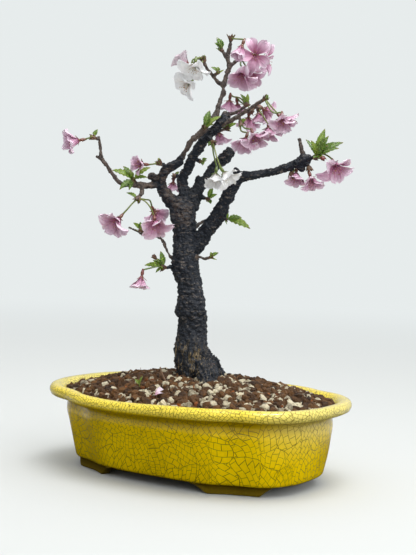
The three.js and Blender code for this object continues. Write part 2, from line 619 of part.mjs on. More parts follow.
/** A serrated blade from the bud to its tip, arched and folded along its rib. */
function leaf(from, tip, width) {
  const along = tip.clone().sub(from);
  const length = along.length();
  const toFront = new THREE.Vector3(0.1, -0.75, 0.65);
  const across = along.clone().cross(toFront).normalize();
  const normal = across.clone().cross(along).normalize();
  const rows = width > LEAF.serrated ? 4 : 2;
  return blade(2, rows, (side, t) => {
    const toothed = rows > 2 && t > 0.1 && t < 0.9;
    const tooth = toothed ? 1 + LEAF.tooth * Math.cos(t * rows * Math.PI) : 1;
    const bulge = Math.sin(Math.PI * THREE.MathUtils.clamp(t, 0, 1) ** 0.8);
    const half = Math.max(t > 0.5 ? LEAF.tipHalfWidth : 0, (width / 2) * bulge * tooth);
    const arch = LEAF.arch * length * Math.sin(Math.PI * t) + LEAF.fold * half * Math.abs(side);
    return from.clone().addScaledVector(along, t).addScaledVector(across, side * half)
      .addScaledVector(normal, arch);
  });
}

/** Flower stalk from the bud, widening into the calyx tube that the bloom sits on. */
function stalk(from, { via, base, face }) {
  const end = vector(base);
  const way = vector(face).normalize();
  const back = (distance, radius) => [...end.clone().addScaledVector(way, -distance).toArray(), radius];
  const route = [
    [...from.toArray(), STALK],
    ...via.map((point) => [...point, STALK]),
    back(CALYX.length, STALK + 0.1),
    back(CALYX.length * 0.6, CALYX.radius),
    back(0, CALYX.throat),
  ];
  return limb({ route, sides: 3 });
}

function greenOf(spray) {
  const bud = budOf(spray);
  const point = (distance, radius) => {
    const place = bud.start.clone().addScaledVector(bud.way, distance);
    return [...place.toArray(), radius];
  };
  const route = [point(0, bud.radius * BUD.base), point(BUD.length, bud.radius * BUD.tip)];
  const scales = limb({ route, sides: 4 });
  const stalks = spray.stalks.map((each) => stalk(bud.middle, each));
  const leaves = spray.leaves.map(({ tip, width }) => leaf(bud.middle, vector(tip), width));
  return geometryOf(joined([scales, ...stalks, ...leaves]));
}

/** One of five petals round the Z axis: pointed at its root, cupped, with a notched tip. */
function petal(index, length, openAngle) {
  const turn = ((index + 0.25) * 2 * Math.PI) / 5 + 0.16 * grain(index, length);
  const open = THREE.MathUtils.degToRad(openAngle + 10 * grain(index, openAngle));
  const outward = new THREE.Vector3(Math.cos(turn), Math.sin(turn), 0);
  const sideways = new THREE.Vector3(-Math.sin(turn), Math.cos(turn), 0);
  const halfWidthAt = (t) => (t < PETAL.widestAt
    ? (PETAL.halfWidth * t) / PETAL.widestAt
    : THREE.MathUtils.mapLinear(t, PETAL.widestAt, 1, PETAL.halfWidth, PETAL.endHalfWidth));
  return blade(2, 2, (side, t) => {
    const notch = 1 - PETAL.notch * Math.max(0, t * 2 - 1) * (1 - Math.abs(side));
    const reach = t * length * notch;
    const tilt = open + PETAL.curl * (t - 1);
    const away = PETAL.away + reach * Math.sin(tilt);
    const ahead = PETAL.ahead + reach * Math.cos(tilt);
    const half = Math.min(length * halfWidthAt(t), 0.85 * away * Math.tan(Math.PI / 5));
    return outward.clone().multiplyScalar(away).addScaledVector(sideways, side * half)
      .add(new THREE.Vector3(0, 0, ahead + PETAL.trough * half * side * side));
  });
}

/** A bloom on its calyx: five petals and the brush of stamens on a small cup. */
function bloom({ base, face, petal: length, open }) {
  const cup = new THREE.CylinderGeometry(CUP.top, CUP.bottom, CUP.height, 5);
  cup.rotateX(Math.PI / 2).translate(0, 0, CUP.height / 2);
  const brushHeight = length * BRUSH.share;
  const brush = new THREE.CylinderGeometry(BRUSH.top, BRUSH.bottom, brushHeight, 3);
  brush.rotateX(Math.PI / 2).translate(0, 0, CUP.height * 0.8 + brushHeight / 2);
  const petals = [0, 1, 2, 3, 4].map((index) => petal(index, length, open));
  const way = vector(face).normalize();
  const turn = new THREE.Quaternion().setFromUnitVectors(new THREE.Vector3(0, 0, 1), way);
  const seat = vector(base).addScaledVector(way, GAP);
  return [cup, brush, ...petals].map((piece) => piece.applyQuaternion(turn).translate(...seat.toArray()));
}

// ---------------------------------------------------------------------------
// The whole bonsai
// ---------------------------------------------------------------------------

const bonsai = new THREE.Group();
bonsai.name = 'cherry_bonsai';

const tree = new THREE.Group();
tree.rotation.set(0, -PLANTING.lean, PLANTING.turn, 'ZYX');
tree.position.set(
  PLANTING.across * Math.cos(PLANTING.turn),
  PLANTING.across * Math.sin(PLANTING.turn),
  PLANTING.up,
);
tree.updateMatrix();

addPiece(bonsai, 'pot', pot(), 0xd8b418, 0.2);
addPiece(bonsai, 'drain_screen_left', drainScreen(-1), 0x2c2f30, 0.6);
addPiece(bonsai, 'drain_screen_right', drainScreen(1), 0x2c2f30, 0.6);
addPiece(bonsai, 'soil', geometryOf(soil()), 0x6e4630, 0.95);

bonsai.add(tree);

addPiece(tree, 'tree_wood', wood(), 0x2b2a30, 0.85);

for (const spray of SPRAYS) {
  addPiece(tree, `spray_${spray.name}`, greenOf(spray), 0x6f9a2f, 0.5);
}

const blooms = new Map();
for (const each of SPRAYS.flatMap((spray) => spray.stalks)) {
  blooms.set(each.bloom, [...(blooms.get(each.bloom) ?? []), ...bloom(each)]);
}
for (const [name, pieces] of blooms) {
  const color = name.startsWith('white') || name === 'top_left_low' ? 0xf1eeec : 0xd9a3c4;
  addPiece(tree, `bloom_${name}`, geometryOf(joined(pieces)), color, 0.6);
}

export default bonsai;
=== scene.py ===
import json
import math
import random
from collections import namedtuple

import bmesh
import bpy
from bpy.props import FloatProperty, FloatVectorProperty, IntProperty, PointerProperty
from bpy.types import Operator, Panel, PropertyGroup
from mathutils import Matrix, Vector, noise
from mathutils.kdtree import KDTree

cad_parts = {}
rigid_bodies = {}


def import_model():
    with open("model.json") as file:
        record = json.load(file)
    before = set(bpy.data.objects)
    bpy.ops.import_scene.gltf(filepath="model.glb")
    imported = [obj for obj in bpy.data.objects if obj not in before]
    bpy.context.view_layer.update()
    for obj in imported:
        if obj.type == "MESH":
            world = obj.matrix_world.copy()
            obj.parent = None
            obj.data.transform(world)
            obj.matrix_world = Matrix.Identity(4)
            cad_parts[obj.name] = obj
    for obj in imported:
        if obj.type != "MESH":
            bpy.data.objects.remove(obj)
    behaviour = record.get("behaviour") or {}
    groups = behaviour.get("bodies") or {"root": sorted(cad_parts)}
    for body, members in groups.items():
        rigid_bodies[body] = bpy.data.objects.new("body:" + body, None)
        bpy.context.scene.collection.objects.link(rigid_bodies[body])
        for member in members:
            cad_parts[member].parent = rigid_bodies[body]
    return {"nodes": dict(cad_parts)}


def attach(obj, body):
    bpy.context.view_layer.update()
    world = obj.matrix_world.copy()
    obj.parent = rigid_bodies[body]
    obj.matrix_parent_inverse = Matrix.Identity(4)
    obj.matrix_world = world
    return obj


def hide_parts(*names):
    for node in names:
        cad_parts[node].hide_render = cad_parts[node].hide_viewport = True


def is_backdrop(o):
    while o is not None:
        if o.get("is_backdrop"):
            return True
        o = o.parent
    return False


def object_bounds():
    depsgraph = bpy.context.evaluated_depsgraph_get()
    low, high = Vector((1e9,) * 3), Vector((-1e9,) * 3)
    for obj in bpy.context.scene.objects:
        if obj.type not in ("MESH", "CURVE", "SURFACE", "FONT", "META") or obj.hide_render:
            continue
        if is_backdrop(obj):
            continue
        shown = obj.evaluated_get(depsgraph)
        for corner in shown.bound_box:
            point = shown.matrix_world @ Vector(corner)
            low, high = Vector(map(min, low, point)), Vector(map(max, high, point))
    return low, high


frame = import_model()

bl_info = {
    "name": "Cherry Blossom Bonsai",
    "version": (1, 0, 0),
    "blender": (4, 5, 0),
    "location": "View3D > Sidebar > Bonsai",
    "description": "Dresses the bonsai's solids: glaze, soil, bark, leaves and blossoms",
    "category": "Object",
}

# Shapes are made in millimetres and scaled once, when a piece is finished.
MM = 0.001
ROOT = "root"
CAD_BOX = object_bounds()
Z_AXIS = Vector((0, 0, 1))
FULL_TURN = 2 * math.pi
# The tree and the camera are turned this far from the pot's front.
FRONT_TURN = math.radians(32.7)
# Corners closer than this are merged.
SEAM = 0.002
# How far the ends of a tube are drawn out, in radii.
TUBE_END = 0.35
# Least angle between two faces of a blade that is drawn as an edge, in radians.
SHARP_RIM = 1.1
# Starts of the random draws. Each spray and bloom counts on from its own.
SOIL_SEED = 11
SPRAY_SEED = 40
LITTER_SEED = 77
BLOOM_SEED = 400

# ---- The pot's outline and profile ----

HALF_LENGTH = 152
HALF_WIDTH = 108
SQUARENESS = 2.52
# Where the oval is pinched in each quarter, how deep and how wide.
NOTCH = (97, 92.5)
NOTCH_DEPTH = 5
NOTCH_WIDTH = 18

# Rows of the wall as (inset from the widest outline, height).
OUTER_WALL = [
    (38, 9.2), (31.6, 9.2), (29.6, 9.7), (28.4, 11), (27.7, 13), (26.8, 17), (25, 25), (22.8, 35),
    (20.2, 46), (18.3, 53), (17.6, 57), (17.7, 60.5), (18, 63.5), (17.3, 66.5), (14.6, 69.2),
    (9.4, 70.4), (4, 71), (1.5, 72.4), (0.1, 75.6), (0.3, 78.2), (1.8, 80.6), (4.6, 81.8),
]
INNER_WALL = [(8.5, 81.7), (11.8, 80.6), (14.4, 78), (16.4, 74), (20.5, 64), (30, 24), (36, 17.2)]
POT_SEGMENTS = 128
# From the middle of the base to the start of the wall.
BASE_REACH = 120
# How deep the lip sags, and round which angle and over what spread, in degrees.
LIP_SAG = 3.3
SAG_MIDDLE = -106
SAG_SPREAD = 34
# How much fuller the wall stands low at the +X end.
END_SWELL = 3.4
# Length round the wall, which sets the size of the crackle.
POT_GIRTH = 820
# Angles of the feet for the two ends: middle, half of the flat, half of the whole.
FOOT_TURNS = {1: (44, 12, 22.5), -1: (42, 11, 19.5)}
# Section of a foot as (inset, share of its own height, height above its lower edge).
FOOT_SECTION = [
    (42, 1, 0), (35.6, 1, 0), (35.2, 0.55, 1.4), (34.6, 0.2, 2), (33.2, 0, 2.3), (32.4, 0, 1.4),
    (32.6, 0, 0.5), (33.6, 0, 0), (41.2, 0, 0), (42, 0, 1),
]
# Where the feet end inside the pot's base, and how far their own ends sweep up.
FOOT_TOP = 13
FOOT_LIFT = 7.6
FOOT_STATIONS = 30
# Drain holes: radius, distance from the middle, and middle height and length of the cut.
DRAIN_RADIUS = 9
DRAIN_FROM = 60
DRAIN_HEIGHT = 12
DRAIN_CUT = 30

SOIL_CROWN = 94
# Where the soil meets the wall, as (inset, height).
SOIL_EDGE = (16.9, 73)
SOIL_FLOOR = 17.6
SOIL_SLOPE = 2.1
SOIL_RINGS = 26
# How far the granules stay in from the widest outline.
GRANULE_INSET = 17.6
# Rolling and fine waves of the soil as (scale, height).
SOIL_ROLL = (0.09, 1.6)
SOIL_RIPPLE = (0.4, 0.7)

# ---- The tree, as (across, depth, height) seen square to its front ----

PLANTING_LEAN = math.radians(1.46)
PLANTING_ACROSS = 7.1
PLANTING_UP = 2.9
TREE = (
    Matrix.Translation((
        PLANTING_ACROSS * math.cos(FRONT_TURN),
        PLANTING_ACROSS * math.sin(FRONT_TURN),
        PLANTING_UP,
    ))
    @ Matrix.Rotation(FRONT_TURN, 4, "Z")
    @ Matrix.Rotation(-PLANTING_LEAN, 4, "Y")
)

# Each route is a list of (across, depth, height, radius), followed by how rough its bark is.
TRUNK = [
    ([
        (-3, 2, 60, 15), (-3, 2, 76, 17), (-4, 1, 90, 18.5), (-8, 0, 104, 17.6), (-11, 0, 120, 15.6),
        (-11, 1, 136, 14.5), (-10, 1, 150, 13.7), (-12, 0, 158, 14.4), (-13, -1, 170, 13),
        (-14, -1, 183, 12), (-17, 0, 194, 12.8), (-18, 1, 212, 12), (-18, 2, 230, 11.3),
        (-20, 2, 244, 11.8), (-23, 3, 258, 12), (-24, 3, 266, 9),
    ], 0.05),
    ([
        (-1, -5, 106, 9), (4, -12, 96, 10.5), (7, -18, 87, 8.5), (9, -22, 78, 7),
    ], 0.08),
    ([(0, -3, 108, 8), (8, -5, 100, 9.5), (13, -5, 91, 8.5), (16, -4, 79, 7)], 0.1),
    ([(-12, 0, 108, 9), (-17, -2, 94, 8), (-22, -4, 78, 6)], 0.08),
    ([(-6, 6, 106, 9), (-4, 15, 93, 9), (0, 23, 77, 5)], 0.08),
    ([(0, -8, 104, 9), (3, -20, 97, 9.5), (5, -31, 90, 8), (6, -40, 82, 5)], 0.12),
]

LIMBS = [
    # right limb, rising to its elbow and out to the blunt end
    ([
        (-15, 2, 212, 8), (-4, 0, 224, 8), (3, -3, 235, 7.4), (14, -8, 250, 6.8), (20, -12, 263, 6.3),
        (26, -15, 275, 6.2), (33, -18, 285, 5.5), (48, -22, 288, 4.3), (63, -25, 290.5, 4),
        (76, -29, 294.5, 3.9), (87, -32, 298.5, 4.2), (94, -34, 302, 5), (99, -34, 304, 3.6),
    ], 0.06),
    ([(35, -18, 284, 4.5), (31, -17, 291, 3.6), (29, -17, 294, 2.4)], 0.03),
    ([(95, -34, 303, 3.4), (92, -34, 309, 2.1), (90.5, -35, 315, 2), (89, -35, 322, 2.1)], 0.03),
    ([(88, -32, 298, 4), (92, -33, 294, 3.4), (94, -34, 292, 2.2)], 0.03),
    # cut stub in the middle
    ([
        (-14, 6, 256, 8), (-9, 9, 271, 7), (-2, 12, 281, 5.2), (4, 15, 289, 4.8),
        (9, 18, 297, 5), (19, 22, 306, 5.6), (26, 26, 314.5, 5.2),
    ], 0.07),
    ([(-3, 12, 281, 4), (-6, 12, 285, 3.6), (-7, 12, 288, 2.2)], 0.03),
    # dark leader
    ([
        (-20, 3, 258, 8), (-20, 3, 273, 5.8), (-22, 2, 284, 5), (-17, 0, 293, 4.8), (-13, -2, 303, 4.8),
        (-7, -3, 312, 5), (-2, -5, 321, 5), (5, -6, 328, 4.7), (13, -8, 336, 4.4), (19, -9, 343, 4.6),
        (20, -9, 349, 3),
    ], 0.07),
    # brown limb on the left, climbing past the leader to the top
    ([
        (-26, 4, 256, 8), (-38, 2, 270, 6), (-42, 0, 278, 5), (-41, -2, 286, 4.8), (-36, -5, 294, 4.5),
        (-29, -8, 298, 4.4), (-22, -10, 302, 4),
    ], 0.07),
    ([
        (-26, -9, 299, 3.6), (-20, -13, 308, 3), (-14, -17, 319, 2.8), (-10, -18, 323, 3),
        (-3, -18, 328, 3.2), (3, -16, 337, 2.9), (10, -14, 345, 2.7), (13, -10, 356, 2.5),
        (17, -6, 366, 2.4), (18, -3, 376, 2.4), (21, 0, 387, 2.3), (23, 2, 394, 2.3),
        (21, 3, 401, 2.1), (18, 4, 406, 2),
    ], 0.06),
    ([(-40, -1, 283, 4), (-46, -3, 285, 3.4), (-52, -4, 287, 3.8), (-54, -5, 288, 2.4)], 0.03),
    # low limb to the far left
    ([
        (-38, 1, 274, 4.4), (-46, -1, 278, 3.5), (-54, -4, 278, 3.2), (-62, -8, 278, 3),
        (-72, -12, 278, 2.7),
        (-82, -16, 280, 2.5), (-87, -18, 286, 2.1), (-93, -21, 295, 1.9), (-98, -24, 302, 1.8),
        (-99, -26, 311, 1.6), (-100, -28, 323, 1.3),
    ], 0.05),
    ([(-98, -24, 301, 1.5), (-103, -25, 304, 1.2)], 0.03),
    # twigs on the right
    ([
        (11, -8, 335, 3), (20, -11, 338, 2.3), (26, -14, 341, 2.1), (38, -20, 348, 2.1), (46, -25, 353, 1.9),
        (53, -30, 357, 1.6),
    ], 0.03),
    ([(17, -8, 345, 2.4), (26, 0, 348, 1.7), (34, 7, 352, 1.5), (37, 7, 354, 1.9)], 0.03),
    ([(4, -6, 327, 2.4), (12, -2, 330, 1.7), (18, 2, 332.5, 1.5)], 0.03),
    # twigs at the top
    ([(17, -3, 374, 2.2), (9, -6, 381, 1.8), (3, -9, 388, 1.7), (-0.5, -11, 392.5, 2)], 0.03),
    ([(22, 2, 392, 2), (27, 6, 397.5, 1.8), (30, 8, 400, 1.6)], 0.03),
    ([(21, 3, 401, 2), (23, 2, 411, 2.2), (23.5, 1.5, 415, 2)], 0.03),
    # thin twigs low on the trunk
    ([
        (-26, 3, 203, 2.4), (-32, 4, 208, 1.8), (-37, 5, 216, 1.6), (-41, 8, 225, 1.5),
        (-49, 11, 229, 1.4), (-60, 14, 230, 1.3), (-68, 17, 234, 1.3), (-75, 19, 237, 1.2),
    ], 0.03),
    ([(-10, 6, 236, 2.2), (-4, 14, 242, 1.6), (7, 20, 247, 1.5), (15, 22, 250, 1.4)], 0.03),
    ([(-12, 0, 210, 2.2), (-5, -4, 209, 1.6), (1, -7, 207, 1.6)], 0.03),
    ([(-60, -8, 277.5, 2.4), (-60, -12, 270, 2.2)], 0.03),
]

# Knots and hollows on the trunk: place, radius and how far they stand out.
TRUNK_MARKS = [
    ((12, -9, 107), 6, 3.2),
    ((15, -6, 97), 5.5, 2.4),
    ((-26, -4, 107), 11, 2.6),
    ((-25, -3, 119), 7, 1.8),
    ((-18, -13, 125), 4.4, -1.5),
    ((-18, -13, 119), 3.2, 1.3),
    ((-22, -3, 144), 7, -2.8),
    ((-25, -3, 155), 7, 2.2),
    ((1, -4, 168), 4.5, 1.6),
    ((4, -6, 145), 6, -1),
    ((-25, -4, 184), 6, -1.2),
    ((-31, -3, 203), 6, 1.6),
    ((-29, -4, 220), 5, 1.4),
    ((-8, -12, 152), 5, 1.2),
    ((-9, -11, 214), 6, 1.2),
    ((-30, -6, 246), 6, 1.6),
]

# A spray grows from its spur of wood, with stalks, leaves as (tip, width) and buds as (skin, place).
Spray = namedtuple("Spray", "name spur stalks leaves buds", defaults=[()])
# A stalk runs through its via points to the base of a bloom that looks along face. Its petals
# have a length, are opened by so many degrees and start at a turn round the bloom, in degrees.
Stalk = namedtuple("Stalk", "bloom via base face petal opened turn", defaults=[0])

SPRAYS = [
    Spray("far_left", [(-99.5, -28, 320, 1.4), (-103, -29, 321, 1.5)], [
        Stalk("far_left", [(-110, -29, 321)], (-117.5, -29.5, 319), (-0.8, -0.45, -0.2), 16, 33),
    ], [((-101.5, -28, 329.5), 4)]),
    Spray("left", [(-36, -6, 294, 2), (-41.5, -10, 298, 1.6)], [
        Stalk("left", [(-50, -12, 298)], (-58, -14, 297.5), (-0.75, -0.6, 0), 12.5, 36),
    ], [((-45, -10, 304), 3)]),
    Spray("hanging", [(-60, -12, 270, 2.2), (-62.5, -14, 266.5, 2.2)], [
        Stalk(
            "hanging_left", [(-68, -16, 261), (-74, -18, 254)], (-80.5, -20, 246.5), (-0.45, -0.62, -0.6),
            19, 42,
        ),
        Stalk(
            "hanging_right", [(-58, -18, 263), (-52, -20, 257)], (-47.5, -20, 244.5), (0.15, -0.62, -0.76),
            18.5, 48,
        ),
        Stalk("hanging_back", [(-57, -8, 264), (-53, 3, 263)], (-50, 10, 254), (0.2, 0.5, -0.5), 15, 50),
    ], [((-74.5, -15, 271), 4)]),
    Spray("low_left", [(-28, 1, 198, 2.4), (-37, -5, 198.5, 1.6)], [
        Stalk(
            "low_left", [(-44.5, -14, 199.5), (-52, -19, 198)], (-59, -22, 191.5), (-0.15, -0.1, -0.97), 14,
            33,
        ),
    ], [
        ((-42, -5, 214.5), 5.5), ((-57.5, -8, 200.5), 6), ((-47, -4, 193.5), 3),
    ], [("scale", (-46, -9, 206.5))]),
    Spray("crotch", [(-21.5, 4, 287, 2), (-28, 15, 287.5, 1.5)], [
        Stalk("crotch", [], (-31, 20, 283.5), (-0.1, 0.1, -1), 12, 40),
    ], [((-25.5, 19, 293), 3)]),
    Spray("white", [(3, -9, 325, 2.4), (6.5, -15, 320.5, 1.8)], [
        Stalk("white_left", [(8, -17, 310)], (11, -15, 291), (-0.12, -0.35, -0.93), 15.5, 37),
        Stalk(
            "white_right", [(9.5, -19, 312), (12, -24, 303)], (17.5, -27, 291), (0.5, -0.4, -0.77), 16.5,
            40,
        ),
    ], [((3, -19, 315.5), 4.5)]),
    Spray("top_left", [(-0.5, -11, 392.5, 2.2), (-1.5, -12, 396, 2.2)], [
        Stalk(
            "top_left_up", [(-5.5, -13, 398.5), (-12, -13, 398)], (-16.5, -13, 390.5), (-0.6, 0.25, 0.75),
            15, 26,
        ),
        Stalk(
            "top_left_front", [(-5, -17, 399.5), (-7.5, -22, 398)], (-9.5, -28, 393.5),
            (-0.1, -0.45, -0.88), 17.5, 52, 36,
        ),
        Stalk(
            "top_left_low", [(-3.5, -16, 394), (-4.5, -15, 382)], (-14.5, -10, 377), (-0.6, -0.4, -0.7), 17,
            58,
        ),
    ], [((-1, -11, 403), 3)]),
    Spray("top", [(23.5, 1.5, 414, 2.2), (24, 1, 418.5, 1.9)], [
        Stalk("top", [(28, -4, 419.5)], (35.5, -8, 414), (-0.35, -0.2, -0.92), 15, 18),
    ], []),
    Spray("top_right", [(30, 8, 400, 1.8), (33, 9.5, 401.5, 1.6)], [
        Stalk("top_right_front", [(40, 11, 403.5)], (47.5, 6, 405.5), (0.12, -0.97, -0.1), 16, 74, 28),
        Stalk(
            "top_right_back", [(42, 17, 402), (51.5, 22, 402)], (54.5, 20, 404), (0.78, -0.1, -0.2), 15.5,
            62,
        ),
        Stalk("top_right_low", [(34, 6, 396)], (36, -4, 388), (-0.3, -0.5, -0.8), 17, 50),
        Stalk("top_right_mid", [(38, 14, 398)], (42, 16, 391.5), (0.4, -0.35, -0.8), 17, 52),
    ], [((37, 8, 408), 4)]),
    Spray("mid", [(36, 7, 353, 1.8), (38.5, 8, 356, 1.8)], [
        Stalk("mid", [(35, 16, 361)], (31.5, 20, 361), (0.15, 0.1, -0.95), 15, 52),
        Stalk("mid", [(34, 15, 365), (27, 16, 366.5)], (24, 15, 364), (-0.1, 0.25, -0.95), 15, 52),
    ], [((34.5, 6, 368), 4.5), ((41.5, 8, 368.5), 4)]),
    Spray("right_front", [(32, -17, 344, 2), (33.5, -17, 340, 1.6)], [
        Stalk("right_front", [(34.5, -18, 330)], (39.5, -18, 324), (-0.3, -0.35, -0.9), 15.5, 50),
        Stalk("right_front", [(37.5, -22, 332.5)], (45.5, -27, 327), (0.3, -0.5, -0.85), 15.5, 52),
    ], [((39, -19, 341), 5)]),
    Spray("right_back", [(40.5, -20, 349, 2.2), (42.5, -12, 350, 1.8)], [
        Stalk("right_back", [], (42, -6, 345.5), (-0.1, 0.3, -0.95), 14, 48),
        Stalk("right_back", [(46, -5, 353)], (51.5, 3, 350.5), (0.1, 0.1, -1), 14, 48),
    ], []),
    Spray("right_knot", [(47, -25, 352.5, 1.8), (50, -18, 352, 1.6)], [
        Stalk("right_back", [], (55, -13, 352), (0.7, 0.45, -0.45), 13, 50),
        Stalk(
            "right_low", [(55, -20, 344.5), (60, -19, 337)], (60.5, -18, 334), (-0.05, -0.35, -1), 15.5, 54,
        ),
    ], []),
    Spray("right_tip", [(51, -28, 355.5, 1.7), (54.5, -30, 358, 1.5)], [
        Stalk(
            "right_tip_far", [(61, -32, 353.5), (68, -33, 345.5)], (71, -31, 342.5), (0.65, -0.25, -0.7),
            15.5, 42,
        ),
        Stalk(
            "right_tip_near", [(59, -38, 352), (64, -43, 345)], (71.5, -47, 341), (-0.05, -0.5, -0.85),
            14.5, 44,
        ),
    ], [((59.5, -30, 363), 4)]),
    Spray("end", [(97, -34, 302.5, 3), (102, -34, 304, 1.8)], [
        Stalk(
            "end_far", [(109, -33, 308), (115.5, -36, 306)], (121, -41, 299), (0.25, -0.65, -0.7), 18.5, 54,
        ),
    ], [
        ((113, -34, 331.5), 7.5), ((116, -38, 324.5), 7), ((130, -36, 319), 8), ((124.5, -44, 313.5), 7.5),
        ((96, -32, 322), 5), ((99.5, -40, 320), 6), ((119.5, -26, 312), 6), ((101.5, -43, 303.5), 3.6),
    ], [("calyx", (108.5, -40, 303.5))]),
    Spray("end_low", [(96, -34, 300, 3), (97.5, -34, 296.5, 1.8)], [
        Stalk("end_low", [], (99.5, -37, 286.5), (0.2, -0.4, -0.9), 15, 48),
    ], []),
    Spray("end_under", [(83, -29, 297, 3), (82.5, -28, 291, 1.8)], [
        Stalk("end_under", [], (87, -27, 291), (-0.15, -0.5, -0.9), 14.5, 32),
    ], []),
    Spray("elbow", [(-66, -10, 278.5, 2.6), (-67.5, -13, 281.5, 2)], [], [
        ((-89, -12, 292), 7), ((-52.5, -19, 295), 7), ((-81, -22, 273), 6), ((-72.5, -16, 292), 4.5),
    ]),
    Spray("leader", [(-2.5, -18, 329, 3), (-1, -22, 331.5, 1.8)], [], [
        ((4.5, -23, 349), 6.5), ((15, -24, 343), 5), ((8, -26, 335.5), 4.5),
    ]),
    Spray("low_twig", [(14.5, 2, 331.5, 1.6), (19, 4, 333.5, 1.4)], [
        Stalk("leader_back", [], (13, 12, 332), (0.2, 0.35, -0.9), 13.5, 30),
    ], [((20, 2, 343), 5.5), ((31, 4, 339), 4.5)]),
    Spray("top_side", [(8, -4, 383, 1.8), (10.5, -7, 385.5, 1.6)], [], [
        ((12, -8, 392), 4), ((5.5, -10, 391.5), 4),
    ]),
    Spray("top_pair", [(18.5, 4, 405, 2), (16.5, 5, 408.5, 1.8)], [], [
        ((11, 5, 422.5), 6.5), ((16, 9, 420), 4),
    ]),
    Spray("leader_mid", [(-9, -5, 303, 3), (-4.5, -10, 301.5, 1.7)], [], [
        ((2, -12, 304), 4), ((-1, -15, 298), 3.4),
    ]),
    Spray("stub_base", [(-3.5, 10, 268, 3), (1.5, 7, 266, 1.7)], [], [
        ((8, 6, 277.5), 5), ((12, 4, 270.5), 4.5), ((6.5, 6, 261), 4),
    ]),
    Spray("large_leaf", [(15, 22, 250, 1.7), (19.5, 21, 247, 1.6)], [], [
        ((45.5, 16, 237), 9), ((23, 18, 254), 3.6),
    ]),
    Spray("left_twig", [(-57.5, 13, 229.5, 1.5), (-61, 12, 233, 1.4)], [], [
        ((-69.5, 11, 242), 4.5), ((-63, 12, 242.5), 4),
    ]),
    Spray("right_spur", [(1, -7, 207, 1.6), (5, -9, 208.5, 1.5)], [], [
        ((14, -10, 213.5), 4), ((6.5, -10, 214), 3),
    ]),
]
WHITE_BLOOMS = ("white_left", "white_right", "top_left_low", "top_left_front")
PALE_BLOOMS = ("top_left_up",)

# Where the litter lies on the soil.
PETAL_SPOT = Vector((2, -77, 83))
SPROUT_SPOT = Vector((-28, -59, 86.5))
STUB_SPOT = Vector((-12, -38, 91.5))
# Leaves of the sprout as (tip from its root, width).
SPROUT_LEAVES = [((-4, -2, 8), 2.6), ((3, 1, 11), 2.4), ((0, 2, 8), 2.2)]

# ---- Sizes and colours ----

# Colours that have no setting of their own.
BLACK = (0, 0, 0, 1)
# Painted shade on the feet, which stand in the pot's shadow.
FOOT_SHADE_COLOUR = (0.05, 0.028, 0.001, 1)
PLASTIC = (0.022, 0.024, 0.024, 1)
PLASTIC_DUST = (0.07, 0.06, 0.05, 1)
# Near-black of the bed between the granules: dark soil and painted shade in the gaps.
SOIL_SHADE = (0.010, 0.006, 0.004, 1)
BARK_SHADE = (0.045, 0.034, 0.030, 1)
BARK_PORE = (0.10, 0.055, 0.04, 1)
BARK_CRACK = (0.004, 0.004, 0.006, 1)
LEAF_RIB = (0.30, 0.38, 0.10, 1)
LEAF_TIP = (0.30, 0.14, 0.05, 1)
STALK_PALE = (0.18, 0.21, 0.05, 1)
SCALE_PALE = (0.17, 0.095, 0.05, 1)
PINK_VEIN = (0.40, 0.09, 0.24, 1)
PALE_HEART = (0.48, 0.20, 0.29, 1)
PALE_EDGE = (0.68, 0.58, 0.62, 1)
PALE_VEIN = (0.36, 0.20, 0.27, 1)
WHITE_HEART = (0.40, 0.29, 0.22, 1)
WHITE_EDGE = (0.90, 0.90, 0.90, 1)
WHITE_VEIN = (0.62, 0.61, 0.58, 1)
FILAMENT_TIP = (0.62, 0.30, 0.42, 1)
ANTHER_TIP = (0.42, 0.24, 0.06, 1)
THREAD = (0.60, 0.58, 0.44, 1)
THREAD_TIP = (0.78, 0.76, 0.68, 1)
FLOOR_SPECKLE = (0.54, 0.54, 0.52, 1)
# What the floor gives back to the pot and to the room, which the camera doesn't see.
FLOOR_NEAR_POT = (0.05, 0.042, 0.035, 1)
FLOOR_AROUND = (0.6, 0.6, 0.6, 1)
FAR_GLOW = (0.4, 0.42, 0.42, 1)
SKY_LOW = (0.16, 0.168, 0.176, 1)
SKY_HIGH = (1.15, 1.18, 1.21, 1)


def colour(name, description, red, green, blue):
    return FloatVectorProperty(
        name=name, description=description, default=(red, green, blue, 1), size=4, min=0, max=1,
        subtype="COLOR",
    )


def length(name, description, default):
    return FloatProperty(
        name=name, description=description, default=default, min=0, unit="LENGTH", subtype="DISTANCE",
        precision=5,
    )


def share(name, description, default):
    return FloatProperty(
        name=name, description=description, default=default, min=0, max=1, subtype="FACTOR",
    )


def power(name, description, default):
    return FloatProperty(name=name, description=description, default=default, min=0, unit="POWER")


class PotSettings(PropertyGroup):
    glaze: colour("Glaze", "Main colour of the glaze", 0.95, 0.67, 0.0)
    # Dark glaze in patches, also painted under the lip as shade in the cove.
    glaze_thick_and_lip_shade: colour("Pooled glaze and lip shade", "Colour where the glaze lies thick, also painted as shade under the lip", 0.38, 0.25, 0.0)
    # Paler than the wall, partly thin glaze and partly a painted sheen of the sky.
    glaze_rim_and_sheen: colour("Rim glaze and sheen", "Colour where the glaze runs thin on the rim, paled as a painted sheen", 0.88, 0.71, 0.09)
    # Painted reflection of the bright surroundings on the two ends.
    glaze_end_sheen: colour("End sheen", "Painted reflection of the bright surroundings on the two ends", 0.62, 0.56, 0.20)
    crackle: colour("Crackle", "Stain in the crackle lines", 0.15, 0.105, 0.0)
    cell: length("Crackle cell", "Typical size of a crackle cell on the wall", 0.0064)
    rim_cell: length("Rim cell", "Typical size of a crackle cell on the rim", 0.0036)
    line: length("Crackle line", "Width of a crackle line", 0.00055)
    roughness: share("Gloss roughness", "Roughness of the glaze", 0.14)


